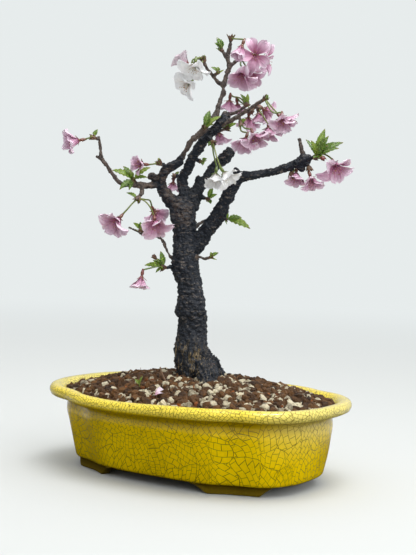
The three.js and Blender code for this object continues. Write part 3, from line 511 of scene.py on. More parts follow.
class SoilSettings(PropertyGroup):
    akadama: colour("Akadama", "Baked clay granules", 0.010, 0.0048, 0.0024)
    akadama_light: colour("Dry akadama", "Palest baked clay granules", 0.15, 0.066, 0.018)
    pumice: colour("Pumice", "Light stone granules", 0.72, 0.64, 0.45)
    pumice_dark: colour("Grey stone", "Darkest of the light stones", 0.12, 0.095, 0.06)
    orange: colour("Orange grit", "Few bright grains of fired clay", 0.30, 0.085, 0.012)
    grain: length("Granule", "Mean size of a granule", 0.0049)
    pumice_share: share("Share of pumice", "Share of the granules that are light stone", 0.23)


class TreeSettings(PropertyGroup):
    bark: colour("Bark", "Old bark", 0.0085, 0.0125, 0.020)
    # Partly worn grey bark, partly painted highlights on the ridges.
    bark_pale_and_highlight: colour("Bark sheen", "Worn grey faces of the bark, with painted highlights on the ridges", 0.24, 0.20, 0.165)
    bark_brown: colour("Young bark", "Brown bark of the twigs", 0.15, 0.11, 0.085)
    # Partly bare tan strands, partly painted highlights on them.
    bark_tan_and_highlight: colour("Bare strands and highlights", "Tan strands low on the trunk", 0.30, 0.215, 0.10)
    voxel: length("Voxel", "Fineness of the wood's mesh", 0.0008)
    ridge: length("Ridge", "Height of the ridges in the bark", 0.0013)


class GreenSettings(PropertyGroup):
    leaf: colour("Leaf", "Blades of the leaves", 0.058, 0.115, 0.008)
    leaf_young: colour("Young leaf", "Palest blades", 0.17, 0.235, 0.022)
    stalk: colour("Stalk", "Flower stalks", 0.10, 0.16, 0.03)
    calyx: colour("Calyx", "Red calyx tubes", 0.20, 0.035, 0.045)
    calyx_green: colour("Green calyx", "Calyx tubes of the white blooms", 0.11, 0.16, 0.02)
    scale: colour("Bud scale", "Dry scales round the buds", 0.055, 0.024, 0.018)
    blade: length("Blade", "Thickness of a leaf", 0.0003)


class BloomSettings(PropertyGroup):
    petal: colour("Petal", "Body of a pink petal", 0.60, 0.37, 0.49)
    petal_edge: colour("Petal edge", "Edge of a pink petal", 0.82, 0.67, 0.76)
    petal_heart: colour("Petal heart", "Root of a pink petal", 0.34, 0.035, 0.15)
    petal_pale: colour("Pale petal", "Body of a pale petal", 0.62, 0.53, 0.58)
    petal_white: colour("White petal", "Body of a white petal", 0.95, 0.95, 0.93)
    filament: colour("Filament", "Threads of the stamens", 0.36, 0.05, 0.16)
    anther: colour("Anther", "Tips of the stamens", 0.34, 0.20, 0.07)
    thickness: length("Petal thickness", "Thickness of a petal", 0.0002)
    stamens: IntProperty(name="Stamens", description="Stamens in a bloom", default=16, min=1, max=60)


class StageSettings(PropertyGroup):
    floor: colour("Floor", "Pale floor", 0.60, 0.61, 0.59)
    backdrop: colour("Backdrop", "Light round the floor", 0.80, 0.84, 0.84)
    floor_radius: length("Floor radius", "Radius of the floor", 9)
    key: power("Key light", "Soft light from above", 33)
    strip: power("Strip light", "Tube that shows only as a gloss", 14)
    fill: power("Fill light", "Soft light from the front", 0.28)


# ---- Mesh tools ----


def level_way(angle):
    return Vector((math.cos(angle), math.sin(angle), 0))


def smoothstep(low, high, value):
    """0 below low, 1 above high, and a smooth rise between."""
    t = min(1, max(0, (value - low) / (high - low)))
    return t * t * (3 - 2 * t)


def new_grid(bm, columns, rows):
    """Corners of a unit square with surface coordinates, to be bent into a shape."""
    return bmesh.ops.create_grid(bm, x_segments=columns, y_segments=rows, size=0.5, calc_uvs=True)["verts"]


def new_bmesh():
    bm = bmesh.new()
    bm.loops.layers.uv.new("UVMap")
    bm.verts.layers.float.new("tone")
    return bm


def point_between(before, start, end, after, t):
    """Point of a centripetal curve, t of the way from start to end."""
    first = max((start - before).to_3d().length, 0.001) ** 0.5
    middle = max((end - start).to_3d().length, 0.001) ** 0.5
    last = max((after - end).to_3d().length, 0.001) ** 0.5
    leave = (start - before) / first - (end - before) / (first + middle) + (end - start) / middle
    arrive = (end - start) / middle - (after - start) / (middle + last) + (after - end) / last
    leave *= middle
    arrive *= middle
    return (
        start * (2 * t**3 - 3 * t**2 + 1)
        + leave * (t**3 - 2 * t**2 + t)
        + end * (3 * t**2 - 2 * t**3)
        + arrive * (t**3 - t**2)
    )


def curve_through(route, step):
    """Stations of x, y, z, radius about step apart on a smooth curve through a route."""
    points = [Vector(point) for point in route]
    points = [2 * points[0] - points[1], *points, 2 * points[-1] - points[-2]]
    stations = []
    for before, start, end, after in zip(points, points[1:], points[2:], points[3:]):
        count = max(1, round((end - start).to_3d().length / step))
        stations += [point_between(before, start, end, after, k / count) for k in range(count)]
    return [*stations, points[-2]]


def add_tube(bm, route, sides, step, material=0, tone=0.5, uneven=None):
    """A tube along a route of x, y, z, radius, drawn together at both ends.

    uneven(angle, ring) scales the radius."""
    stations = curve_through(route, step)
    rings = len(stations) + 1
    centres = [Vector(station[:3]) for station in stations]
    first_way = (centres[1] - centres[0]).normalized()
    last_way = (centres[-1] - centres[-2]).normalized()
    centres = [
        centres[0] - first_way * stations[0][3] * TUBE_END,
        *centres,
        centres[-1] + last_way * stations[-1][3] * TUBE_END,
    ]
    radii = [0, *(station[3] for station in stations), 0]
    across = Vector((0.3, 0.5, 0.8))
    frames = []
    for before, after in zip([centres[0], *centres], [*centres[1:], centres[-1]]):
        along = (after - before).normalized()
        across = (across - along * across.dot(along)).normalized()
        frames.append((across, along.cross(across)))
    verts = new_grid(bm, sides, rings)
    for vert in verts:
        angle = FULL_TURN * (vert.co.x + 0.5)
        ring = round((vert.co.y + 0.5) * rings)
        radius = radii[ring] * (uneven(angle, ring) if uneven else 1)
        sideways, upward = frames[ring]
        vert.co = centres[ring] + (sideways * math.cos(angle) + upward * math.sin(angle)) * radius
    paint_new(bm, verts, material, tone)
    turn_outward(faces_of(verts))


def faces_of(verts):
    return {face for vert in verts for face in vert.link_faces}


def paint_new(bm, verts, material, tone, smooth=True):
    """Gives new faces their material and a tone that their material reads."""
    layer = bm.verts.layers.float["tone"]
    for vert in verts:
        vert[layer] = tone
        for face in vert.link_faces:
            face.material_index = material
            face.smooth = smooth


def turn_outward(faces):
    """Turns the faces of a closed shell outward, by the sign of the volume they enclose."""
    origin = next(iter(faces)).verts[0].co.copy()
    volume = 0.0
    for face in faces:
        corners = [vert.co - origin for vert in face.verts]
        for second, third in zip(corners[1:], corners[2:]):
            volume += corners[0].dot(second.cross(third))
    if volume < 0:
        for face in faces:
            face.normal_flip()


def add_blade(bm, columns, rows, place, thickness, material=0, tone=0.5):
    """A thin closed blade. place(side, along) puts side -1 to 1 and along 0 to 1."""
    verts = new_grid(bm, columns, rows)
    for vert in verts:
        vert.co = place(vert.co.x * 2, vert.co.y + 0.5)
    faces = faces_of(verts)
    edges = {edge for face in faces for edge in face.edges}
    shell = bmesh.ops.solidify(bm, geom=[*faces, *edges, *verts], thickness=thickness)
    made = [item for item in shell["geom"] if isinstance(item, bmesh.types.BMVert)]
    paint_new(bm, [*verts, *made], material, tone)
    faces = faces_of([*verts, *made])
    turn_outward(faces)
    for face in faces:
        face.normal_update()
    for edge in {edge for face in faces for edge in face.edges}:
        edge.smooth = edge.calc_face_angle(0) < SHARP_RIM


def fill_gaps(bm):
    """Closes what a cut or an open end left."""
    bmesh.ops.holes_fill(bm, edges=[edge for edge in bm.edges if edge.is_boundary])


def pour(batch, target):
    """Moves a small bmesh into a larger one."""
    holder = bpy.data.meshes.new("batch")
    batch.to_mesh(holder)
    batch.free()
    target.from_mesh(holder)
    bpy.data.meshes.remove(holder)


def mesh_of(bm, matrix=None, outward=True):
    """Closes seams and poles, puts the shape in place in metres and frees the bmesh."""
    bmesh.ops.remove_doubles(bm, verts=bm.verts, dist=SEAM)
    if matrix is not None:
        bmesh.ops.transform(bm, matrix=matrix, verts=bm.verts)
    bmesh.ops.scale(bm, vec=(MM, MM, MM), verts=bm.verts)
    if outward:
        bmesh.ops.recalc_face_normals(bm, faces=bm.faces)
    mesh = bpy.data.meshes.new("shape")
    bm.to_mesh(mesh)
    bm.free()
    return mesh


def add_object(name, data):
    item = bpy.data.objects.new(name, data)
    bpy.context.scene.collection.objects.link(item)
    return item


def add_piece(name, mesh, materials, replaced=()):
    """Puts a finished mesh in the scene as a piece of the bonsai."""
    mesh.name = name
    piece = add_object(name, mesh)
    for material in materials:
        mesh.materials.append(material)
    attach(piece, ROOT)
    if replaced:
        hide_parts(*replaced)


def with_modifiers(mesh, *settings):
    """The mesh after a stack of modifiers, each given as its type and its values."""
    holder = add_object("holder", mesh)
    for kind, values in settings:
        modifier = holder.modifiers.new(kind.title(), kind)
        for key, value in values.items():
            setattr(modifier, key, value)
    graph = bpy.context.evaluated_depsgraph_get()
    finished = bpy.data.meshes.new_from_object(holder.evaluated_get(graph))
    bpy.data.objects.remove(holder)
    bpy.data.meshes.remove(mesh)
    return finished


# ---- Material tools ----


def add_node(tree, kind, inputs=None, **settings):
    """A node whose inputs are linked where a socket is given and set where a value is."""
    node = tree.nodes.new("ShaderNode" + kind)
    for key, value in settings.items():
        setattr(node, key, value)
    for key, value in (inputs or {}).items():
        if isinstance(value, bpy.types.NodeSocket):
            tree.links.new(value, node.inputs[key])
        else:
            node.inputs[key].default_value = value
    return node


def compute(tree, operation, first, second=0.0, third=0.0):
    node = add_node(tree, "Math", {0: first, 1: second, 2: third}, operation=operation)
    return node.outputs[0]


def times(tree, value, factor, added=None):
    """A value times a factor, plus what is added."""
    if added is None:
        return compute(tree, "MULTIPLY", value, factor)
    return compute(tree, "MULTIPLY_ADD", value, factor, added)


def inverse(tree, value):
    """1 less a value."""
    return compute(tree, "SUBTRACT", 1.0, value)


def compute_vector(tree, operation, first, second=(0, 0, 0), result="Vector"):
    node = add_node(tree, "VectorMath", {0: first, 1: second}, operation=operation)
    return node.outputs[result]


def axes_of(tree, vector):
    """Outputs X, Y and Z of a vector."""
    return add_node(tree, "SeparateXYZ", {0: vector}).outputs


def blend(tree, factor, first, second):
    """The first colour where the factor is 0, and the second where it is 1."""
    return add_node(tree, "Mix", {0: factor, 6: first, 7: second}, data_type="RGBA").outputs[2]


def climb(tree, value, low, high, top=1.0):
    """A value that climbs smoothly from 0 at low to top at high."""
    inputs = {"Value": value, "From Min": low, "From Max": high, "To Min": 0.0, "To Max": top}
    node = add_node(tree, "MapRange", inputs, interpolation_type="SMOOTHSTEP")
    return node.outputs["Result"]


def noise_at(tree, vector, scale, detail=2.0, distortion=0.0):
    inputs = {"Vector": vector, "Scale": scale, "Detail": detail, "Distortion": distortion}
    return add_node(tree, "TexNoise", inputs).outputs["Fac"]


def stretch(tree, vector, scale):
    return add_node(tree, "Mapping", {"Vector": vector, "Scale": scale}).outputs["Vector"]


def socket_named(key):
    return key.replace("_", " ").title().replace("Ior", "IOR")


def new_material(name, **values):
    """A material with its own shader, whose steady values are set on the sockets."""
    material = bpy.data.materials.new(name)
    material.use_nodes = True
    tree = material.node_tree
    shader = tree.nodes["Principled BSDF"]
    for key, value in values.items():
        shader.inputs[socket_named(key)].default_value = value
    return material, tree, shader


def object_coordinates(tree):
    return add_node(tree, "TexCoord").outputs["Object"]


def surface_coordinates(tree):
    return add_node(tree, "UVMap", uv_map="UVMap").outputs["UV"]


def tone_of(tree):
    return add_node(tree, "Attribute", attribute_name="tone").outputs["Fac"]


def bump(tree, shader, height, distance, strength=1.0):
    node = add_node(tree, "Bump", {"Height": height, "Distance": distance, "Strength": strength})
    tree.links.new(node.outputs["Normal"], shader.inputs["Normal"])


def feed(tree, shader, **sockets):
    for key, value in sockets.items():
        tree.links.new(value, shader.inputs[socket_named(key)])


def new_group(name, inputs, outputs):
    """A node group with named sockets, and its input and output nodes."""
    group = bpy.data.node_groups.new(name, "ShaderNodeTree")
    for label, (kind, default) in inputs.items():
        group.interface.new_socket(name=label, in_out="INPUT", socket_type=kind).default_value = default
    for label, kind in outputs.items():
        group.interface.new_socket(name=label, in_out="OUTPUT", socket_type=kind)
    return group, group.nodes.new("NodeGroupInput").outputs, group.nodes.new("NodeGroupOutput")


def close_group(group, result, **values):
    for label, value in values.items():
        group.links.new(value, result.inputs[label])
    return group


def place_group(tree, group, inputs):
    return add_node(tree, "Group", inputs, node_tree=group).outputs


COLOUR = "NodeSocketColor"
NUMBER = "NodeSocketFloat"
VECTOR = "NodeSocketVector"


def mottle_group():
    """Two colours in soft patches, and a fine grain to use as relief."""
    if "Mottle" in bpy.data.node_groups:
        return bpy.data.node_groups["Mottle"]
    inputs = {
        "Coordinates": (VECTOR, (0, 0, 0)), "First": (COLOUR, (1, 1, 1, 1)), "Second": (COLOUR, BLACK),
        "Patch": (NUMBER, 100.0), "Grain": (NUMBER, 900.0),
    }
    group, given, result = new_group("Mottle", inputs, {"Colour": COLOUR, "Relief": NUMBER})
    patches = noise_at(group, given["Coordinates"], given["Patch"], 3.0)
    fine = noise_at(group, given["Coordinates"], given["Grain"], 2.0)
    both = times(group, fine, 0.35, times(group, patches, 0.8))
    mixed = blend(group, climb(group, both, 0.36, 0.78), given["First"], given["Second"])
    return close_group(group, result, Colour=mixed, Relief=fine)


def mottled(tree, place, first, second, patch, fine):
    """Colour and relief of a surface in soft patches of two colours."""
    inputs = {"Coordinates": place, "First": first, "Second": second, "Patch": patch, "Grain": fine}
    return place_group(tree, mottle_group(), inputs)


def tissue_group():
    """Veins that fan out along a petal or leaf, and the way its colour runs to the edge."""
    if "Tissue" in bpy.data.node_groups:
        return bpy.data.node_groups["Tissue"]
    inputs = {
        "Across": (NUMBER, 0.5), "Along": (NUMBER, 0.5), "Tone": (NUMBER, 0.5),
        "Veins": (NUMBER, 18.0), "Slant": (NUMBER, 0.0),
    }
    group, given, result = new_group("Tissue", inputs, {"Vein": NUMBER, "Edge": NUMBER, "Cloud": NUMBER})
    side = compute(group, "ABSOLUTE", compute(group, "SUBTRACT", given["Across"], 0.5))
    slanted = times(group, given["Slant"], compute(group, "SUBTRACT", given["Along"], side))
    fanned = times(group, given["Across"], given["Veins"])
    place = add_node(group, "CombineXYZ", {
        "X": compute(group, "ADD", fanned, slanted),
        "Y": times(group, given["Along"], 1.6),
        "Z": times(group, given["Tone"], 37.0),
    }).outputs[0]
    vein = climb(group, noise_at(group, place, 1.0, 3.0, 0.4), 0.5, 0.72)
    edge = times(group, side, 0.9, compute(group, "POWER", given["Along"], 2.0))
    cloud = noise_at(group, stretch(group, place, (0.2, 1.3, 1)), 1.5, 2.0)
    return close_group(group, result, Vein=vein, Edge=climb(group, edge, 0.35, 1.25), Cloud=cloud)


def tissue(tree, spot, veins, slant):
    """Veins, edge and clouds of a thin blade, from its own surface coordinates."""
    inputs = {"Across": spot["X"], "Along": spot["Y"], "Tone": tone_of(tree), "Veins": veins, "Slant": slant}
    return place_group(tree, tissue_group(), inputs)


# ---- Pot ----


def rim_point(angle):
    """Point of the pot's widest outline, an oval pinched at its four notches."""
    c = math.cos(angle)
    s = math.sin(angle)
    power = abs(c / HALF_LENGTH) ** SQUARENESS + abs(s / HALF_WIDTH) ** SQUARENESS
    oval = power ** (-1 / SQUARENESS)
    away = math.hypot(abs(oval * c) - NOTCH[0], abs(oval * s) - NOTCH[1])
    reach = oval - NOTCH_DEPTH * math.exp(-((away / NOTCH_WIDTH) ** 2))
    return Vector((c * reach, s * reach, 0))


def outline(angle, inset):
    """Point of the outline moved inwards, square to it."""
    way = (rim_point(angle + 0.02) - rim_point(angle - 0.02)).normalized()
    return rim_point(angle) + Vector((-way.y, way.x, 0)) * inset


def soil_height(out):
    """Height of the soil, from its crown at 0 to the pot's wall at 1."""
    return SOIL_CROWN - (SOIL_CROWN - SOIL_EDGE[1]) * out**SOIL_SLOPE


def uneven_wall(point, _):
    """The lip sags along the front, and the wall stands fuller low at the +X end."""
    angle = math.degrees(math.atan2(point.y, point.x))
    along_lip = (angle - SAG_MIDDLE) / SAG_SPREAD
    sag = LIP_SAG * math.exp(-(along_lip**2)) * smoothstep(50, 70, point.z)
    swell = END_SWELL * smoothstep(30, 110, point.x) * smoothstep(66, 25, point.z)
    outward = Vector((point.x, point.y, 0)).normalized()
    return point + outward * swell - Z_AXIS * sag


def add_lobed(bm, rows, moved):
    """A lobed body rolled from a grid, each row of inset, height and share of the way out.

    moved(point, share) gives a point its last place."""
    last = len(rows) - 1
    verts = new_grid(bm, POT_SEGMENTS, last)
    for vert in verts:
        angle = FULL_TURN * (vert.co.x + 0.5)
        inset, height, out = rows[round((vert.co.y + 0.5) * last)]
        edge = outline(angle, inset) * out
        edge.z = height
        vert.co = moved(edge, out)
    paint_new(bm, verts, 0, 0.5)


def add_foot(bm, sign_x, sign_y):
    """Bracket foot: a curved bar with a rolled lower edge, whose ends sweep up to the pot's base."""
    around = len(FOOT_SECTION)
    verts = new_grid(bm, around, FOOT_STATIONS)
    middle, flat, reach = [math.radians(angle) for angle in FOOT_TURNS[sign_x]]
    spots = {}
    for vert in verts:
        inset, share_up, above = FOOT_SECTION[round((vert.co.x + 0.5) * around) % around]
        turn = 2 * vert.co.y * reach
        lift = smoothstep(flat, reach, abs(turn)) ** 0.8 * FOOT_LIFT
        height = lift + above + (FOOT_TOP - lift - above) * share_up
        edge = outline(middle - turn, inset)
        vert.co = Vector((edge.x * sign_x, edge.y * sign_y, height))
        spots[vert] = (turn / FULL_TURN, (height - inset) / POT_GIRTH)
    layer = bm.loops.layers.uv["UVMap"]
    for face in bm.faces:
        for loop in face.loops:
            loop[layer].uv = spots[loop.vert]
    paint_new(bm, verts, 0, 0.5)
    bmesh.ops.remove_doubles(bm, verts=bm.verts, dist=SEAM)
    fill_gaps(bm)


def lobed_shell():
    """Wall, lip and floor of the pot, with surface coordinates measured along the profile in girths."""
    bm = new_bmesh()
    wall = [(inset, height, 1) for inset, height in [*OUTER_WALL, *INNER_WALL]]
    rows = [(0, OUTER_WALL[0][1], 0), *wall, (0, INNER_WALL[-1][1] - 0.2, 0)]
    add_lobed(bm, rows, uneven_wall)
    lengths = [0.0]
    for (inset, height, _), (next_inset, next_height, _) in zip(rows[1:], rows[2:]):
        lengths.append(lengths[-1] + math.hypot(next_inset - inset, next_height - height) / POT_GIRTH)
    lengths = [-BASE_REACH / POT_GIRTH, *lengths]
    layer = bm.loops.layers.uv["UVMap"]
    for face in bm.faces:
        for loop in face.loops:
            loop[layer].uv.y = lengths[round(loop[layer].uv.y * (len(rows) - 1))]
    return mesh_of(bm)


def add_drain(bm, sign_x):
    bmesh.ops.create_cone(
        bm, cap_ends=True, segments=32, radius1=DRAIN_RADIUS, radius2=DRAIN_RADIUS, depth=DRAIN_CUT,
        matrix=Matrix.Translation((sign_x * DRAIN_FROM, 0, DRAIN_HEIGHT)),
    )


def finished_pot():
    """The shell and its feet made one, with the drain holes cut."""
    shell = lobed_shell()
    feet = bpy.data.collections.new("feet")
    drains = bpy.data.collections.new("drains")
    for sign_x in (-1, 1):
        for sign_y in (-1, 1):
            bm = new_bmesh()
            add_foot(bm, sign_x, sign_y)
            feet.objects.link(bpy.data.objects.new("foot", mesh_of(bm)))
        bm = new_bmesh()
        add_drain(bm, sign_x)
        drains.objects.link(bpy.data.objects.new("drain", mesh_of(bm)))
    for tools in (feet, drains):
        bpy.context.scene.collection.children.link(tools)
    mesh = with_modifiers(
        shell,
        ("BOOLEAN", {"operation": "UNION", "operand_type": "COLLECTION", "collection": feet}),
        ("BOOLEAN", {"operation": "DIFFERENCE", "operand_type": "COLLECTION", "collection": drains}),
    )
    for tools in (feet, drains):
        for tool in list(tools.objects):
            shape = tool.data
            bpy.data.objects.remove(tool)
            bpy.data.meshes.remove(shape)
        bpy.data.collections.remove(tools)
    bm = bmesh.new()
    bm.from_mesh(mesh)
    fill_gaps(bm)
    bm.to_mesh(mesh)
    bm.free()
    return mesh


def crack_lines(tree, vector, cell, width):
    """A mask of long cracks, and of short ones that cross each field between them. Sizes in mm."""
    field = 3.2 * cell
    where = {"Vector": vector, "Scale": 1 / field, "Randomness": 0.95}
    edge = add_node(tree, "TexVoronoi", where, voronoi_dimensions="2D", feature="DISTANCE_TO_EDGE")
    near = width / 2 / field
    long = inverse(tree, climb(tree, edge.outputs["Distance"], near * 0.4, near * 1.2))
    fields = add_node(tree, "TexVoronoi", where, voronoi_dimensions="2D", feature="F1")
    chance = add_node(tree, "SeparateColor", {0: fields.outputs["Color"]}).outputs[0]
    turned = add_node(
        tree, "VectorRotate", {"Vector": vector, "Angle": times(tree, chance, 2.6)},
        rotation_type="Z_AXIS",
    )
    rungs = add_node(tree, "TexBrick", {
        "Vector": turned.outputs[0], "Scale": 1.0, "Brick Width": cell * 1.1, "Row Height": cell * 0.95,
        "Mortar Size": width * 0.5, "Mortar Smooth": 0.35, "Bias": 0.0, "Color1": BLACK, "Color2": BLACK,
        "Mortar": (1, 1, 1, 1),
    })
    return compute(tree, "MAXIMUM", long, rungs.outputs["Color"])


# Where the looks of the glaze begin and end, in metres above the table or out from the middle.
RIM_START = (0.0695, 0.0725)
# Band of painted shade in the cove under the lip.
LIP_SHADE_START = (0.055, 0.064)
LIP_SHADE_END = (0.069, 0.0715)
FOOT_END = (0.0075, 0.0095)
ENDS_START = (0.1, 0.15)
# Heights over which the painted reflection on the two ends rises.
END_SHEEN_START = (0.025, 0.072)
# Slow and quick wander of the cracks as (scale per mm, detail, reach in mm).
CRACK_WANDER = (0.02, 0.8, 20)
CRACK_RIPPLE = (0.055, 0.5, 7)


def shaken(tree, vector, girth, scale, detail, reach):
    """A vector moved over the surface by soft noise, by up to reach in mm."""
    soft = add_node(tree, "TexNoise", {"Vector": girth, "Scale": scale, "Detail": detail})
    shift = compute_vector(tree, "MULTIPLY", soft.outputs["Color"], (reach, reach, 0))
    return compute_vector(tree, "ADD", vector, shift)


def crackle_mask(tree, pot, place, on_rim):
    """Cracks in the glaze: coarse on the wall, fine on the rim and in patches."""
    girth = stretch(tree, surface_coordinates(tree), (POT_GIRTH, POT_GIRTH, 1))
    warped = shaken(tree, girth, girth, *CRACK_WANDER)
    warped = shaken(tree, warped, girth, *CRACK_RIPPLE)
    coarse = crack_lines(tree, warped, pot.cell / MM, pot.line / MM)
    fine = crack_lines(tree, warped, pot.rim_cell / MM, pot.line / MM * 0.85)
    patches = times(tree, climb(tree, noise_at(tree, place, 40.0, 2.0), 0.54, 0.62), 0.4)
    finer = compute(tree, "MAXIMUM", patches, on_rim)
    wall_lines = times(tree, coarse, inverse(tree, on_rim))
    lines = compute(tree, "MAXIMUM", wall_lines, times(tree, fine, finer))
    strength = times(tree, noise_at(tree, place, 120.0, 2.0), 0.9, 0.55)
    return times(tree, lines, compute(tree, "MINIMUM", strength, 1.0))


def glaze_material(pot):
    material, tree, shader = new_material(
        "crackled_glaze", coat_roughness=0.03, specular_ior_level=0.22,
    )
    place = object_coordinates(tree)
    spot = axes_of(tree, place)
    height = spot["Z"]
    on_rim = climb(tree, height, *RIM_START)
    lines = crackle_mask(tree, pot, place, on_rim)
    mottle = mottled(tree, place, pot.glaze, pot.glaze_thick_and_lip_shade, 38.0, 500.0)
    below_rim = inverse(tree, climb(tree, height, *LIP_SHADE_END))
    under_lip = times(tree, climb(tree, height, *LIP_SHADE_START), below_rim)
    at_base = inverse(tree, climb(tree, height, *FOOT_END))
    # The two ends, high on the wall, take a paler colour as a painted reflection of the bright surroundings.
    at_ends = climb(tree, compute(tree, "ABSOLUTE", spot["X"]), *ENDS_START, 0.6)
    thin = times(tree, at_ends, climb(tree, height, *END_SHEEN_START))
    # Each look is laid over the ones before it, where its mask is high.
    layers = (
        (times(tree, mottle["Relief"], 0.4), mottle["Colour"]),
        # Painted shade in the cove under the lip.
        (times(tree, under_lip, 0.75), pot.glaze_thick_and_lip_shade),
        # Painted shade on the feet; the same mask also makes them rough and uncoated.
        (times(tree, at_base, 0.9), FOOT_SHADE_COLOUR),
        # Thin glaze on the rim, paled as a painted sheen of the sky.
        (times(tree, on_rim, 0.8), pot.glaze_rim_and_sheen),
        # Painted reflection on the two ends.
        (thin, pot.glaze_end_sheen),
        (lines, pot.crackle),
    )
    painted = pot.glaze
    for mask, paint in layers:
        painted = blend(tree, mask, painted, paint)
    roughness = compute(tree, "MAXIMUM", times(tree, lines, 0.25, pot.roughness), at_base)
    feed(tree, shader, base_color=painted, roughness=roughness,
         coat_weight=times(tree, inverse(tree, at_base), 0.1))
    bump(tree, shader, times(tree, lines, -0.12, noise_at(tree, place, 110.0, 1.0)), 0.0009, 0.5)
    return material


def plastic_material():
    material, tree, shader = new_material("mesh_plastic")
    mottle = mottled(tree, object_coordinates(tree), PLASTIC, PLASTIC_DUST, 180.0, 1500.0)
    feed(tree, shader, base_color=mottle["Colour"], roughness=times(tree, mottle["Relief"], 0.3, 0.4))
    bump(tree, shader, mottle["Relief"], 0.0002)
    return material


class BONSAI_OT_pot(Operator):
    """Oval pot with a rolled lip, bracket feet and drain holes under a crackled yellow glaze"""

    bl_idname = "bonsai.pot"
    bl_label = "Pot"

    def execute(self, context):
        settings = context.scene.bonsai_pot
        add_piece("glazed_pot", finished_pot(), [glaze_material(settings)], ["pot"])
        plastic = plastic_material()
        for side in ("left", "right"):
            screen = frame["nodes"][f"drain_screen_{side}"]
            screen.data.materials.clear()
            screen.data.materials.append(plastic)
        return {"FINISHED"}


# ---- Soil ----


def wave(point, shape):
    """Height of a wave of noise at a point, from its (scale, height)."""
    scale, height = shape
    return noise.noise(point * scale) * height


def uneven_soil(point, out):
    """The soil's top, rolled and rippled between its crown and the wall."""
    if out <= 0 or out >= 1 or point.z < SOIL_EDGE[1] - 1:
        return point
    return point + Vector((0, 0, wave(point, SOIL_ROLL) + wave(point, SOIL_RIPPLE)))


def soil_bed():
    bm = new_bmesh()
    wall = [(37, SOIL_FLOOR, 1), (30.4, 24, 1), (20.9, 64.8, 1), (*SOIL_EDGE, 1)]
    shares = [k / SOIL_RINGS for k in range(SOIL_RINGS - 1, -1, -1)]
    top = [(SOIL_EDGE[0], soil_height(out), out) for out in shares]
    add_lobed(bm, [(0, SOIL_FLOOR, 0), *wall, *top], uneven_soil)
    return mesh_of(bm)


# How far a granule goes from a cube to a ball, and how lumpy it is.
GRANULE_ROUNDNESS = 0.72
GRANULE_LUMPS = 0.46
# Distance between granules, in mean sizes.
GRANULE_SPACING = 0.78
GRIT_SHARE = 0.045
# Granules are made in small batches, because a large bmesh is slow to grow.
BATCH = 60


def granule(bm, place, size, chance, tone):
    """A rounded lump: a cube cut once, swelled to a ball and then knocked uneven."""
    older = len(bm.verts)
    block = bmesh.ops.create_cube(bm, size=2)["verts"]
    edges = list({edge for vert in block for edge in vert.link_edges})
    bmesh.ops.subdivide_edges(bm, edges=edges, cuts=1, use_grid_fill=True)
    verts = list(bm.verts)[older:]
    offset = Vector([chance.uniform(-50, 50) for _ in range(3)])
    squash = Vector([size * chance.uniform(0.78, 1.2) for _ in range(3)])
    angle = chance.uniform(0, 6.28)
    turn = Matrix.Rotation(angle, 3, Vector([chance.uniform(-1, 1) for _ in range(3)]))
    for vert in verts:
        round_off = vert.co.normalized() * 1.25
        point = vert.co.lerp(round_off, GRANULE_ROUNDNESS)
        point *= 1 + GRANULE_LUMPS * noise.noise(point * 0.9 + offset)
        vert.co = place + turn @ Vector([value * scale / 2 for value, scale in zip(point, squash)])
    paint_new(bm, verts, 0, tone, smooth=False)


def clear_of_roots(x, y):
    """Whether a spot on the soil is outside the trunk and its roots."""
    for route, _ in TRUNK:
        for point in route:
            foot = TREE @ Vector(point[:3])
            near_soil = abs(foot.z - SOIL_CROWN - 1) < 8
            if near_soil and math.hypot(x - foot.x, y - foot.y) < point[3] - 1.5:
                return False
    return True


def soil_places(chance, spacing):
    """Spots for granules over the bed, on a shaken grid that leaves out the trunk."""
    spots = []
    row_height = 0.87
    shake = 0.36
    rows = int(2 * HALF_WIDTH / (spacing * row_height))
    columns = int(2 * HALF_LENGTH / spacing)
    for row in range(rows):
        for column in range(columns):
            x = -HALF_LENGTH + (column + 0.5 * (row % 2) + chance.uniform(-shake, shake)) * spacing
            y = -HALF_WIDTH + (row + chance.uniform(-shake, shake)) * spacing * row_height
            out = math.hypot(x, y) / outline(math.atan2(y, x), GRANULE_INSET).length
            if out < 1 and clear_of_roots(x, y):
                spots.append((Vector((x, y, 0)), out))
    return spots


def sown_granules(soil):
    """Granules of baked clay, light stone and orange grit, each kind in a mesh of its own."""
    chance = random.Random(SOIL_SEED)
    kinds = {"akadama": new_bmesh(), "pumice": new_bmesh(), "grit": new_bmesh()}
    batches = {kind: new_bmesh() for kind in kinds}
    mean = soil.grain / MM
    for count, (spot, out) in enumerate(soil_places(chance, mean * GRANULE_SPACING)):
        pale = noise.noise(spot * 0.035) * 0.25 + (0.12 if spot.x > 0 and spot.y < 0 else 0)
        kind = "pumice" if chance.random() < soil.pumice_share + pale else "akadama"
        size = mean * (0.55 + 0.95 * chance.random() ** 1.5) * (0.9 if kind == "pumice" else 1)
        if chance.random() < GRIT_SHARE:
            kind = "grit"
            size *= 0.7
        lift = wave(spot, SOIL_ROLL) + size * chance.uniform(0.02, 0.24)
        place = Vector((spot.x, spot.y, soil_height(out) + lift))
        granule(batches[kind], place, size, chance, chance.random())
        if count % BATCH == BATCH - 1:
            for name, batch in batches.items():
                pour(batch, kinds[name])
                batches[name] = new_bmesh()
    for name, batch in batches.items():
        pour(batch, kinds[name])
    return kinds


def stone_material(name, low, high, roughness, relief):
    """Material of loose grains: each grain has its own tone between two colours."""
    material, tree, shader = new_material(name, specular_ior_level=0.25)
    place = object_coordinates(tree)
    mottle = mottled(tree, place, low, high, 320.0, 1900.0)
    own = blend(tree, tone_of(tree), low, high)
    mixed = blend(tree, 0.35, own, mottle["Colour"])
    feed(tree, shader, base_color=mixed, roughness=times(tree, mottle["Relief"], 0.2, roughness))
    bump(tree, shader, mottle["Relief"], relief)
    return material


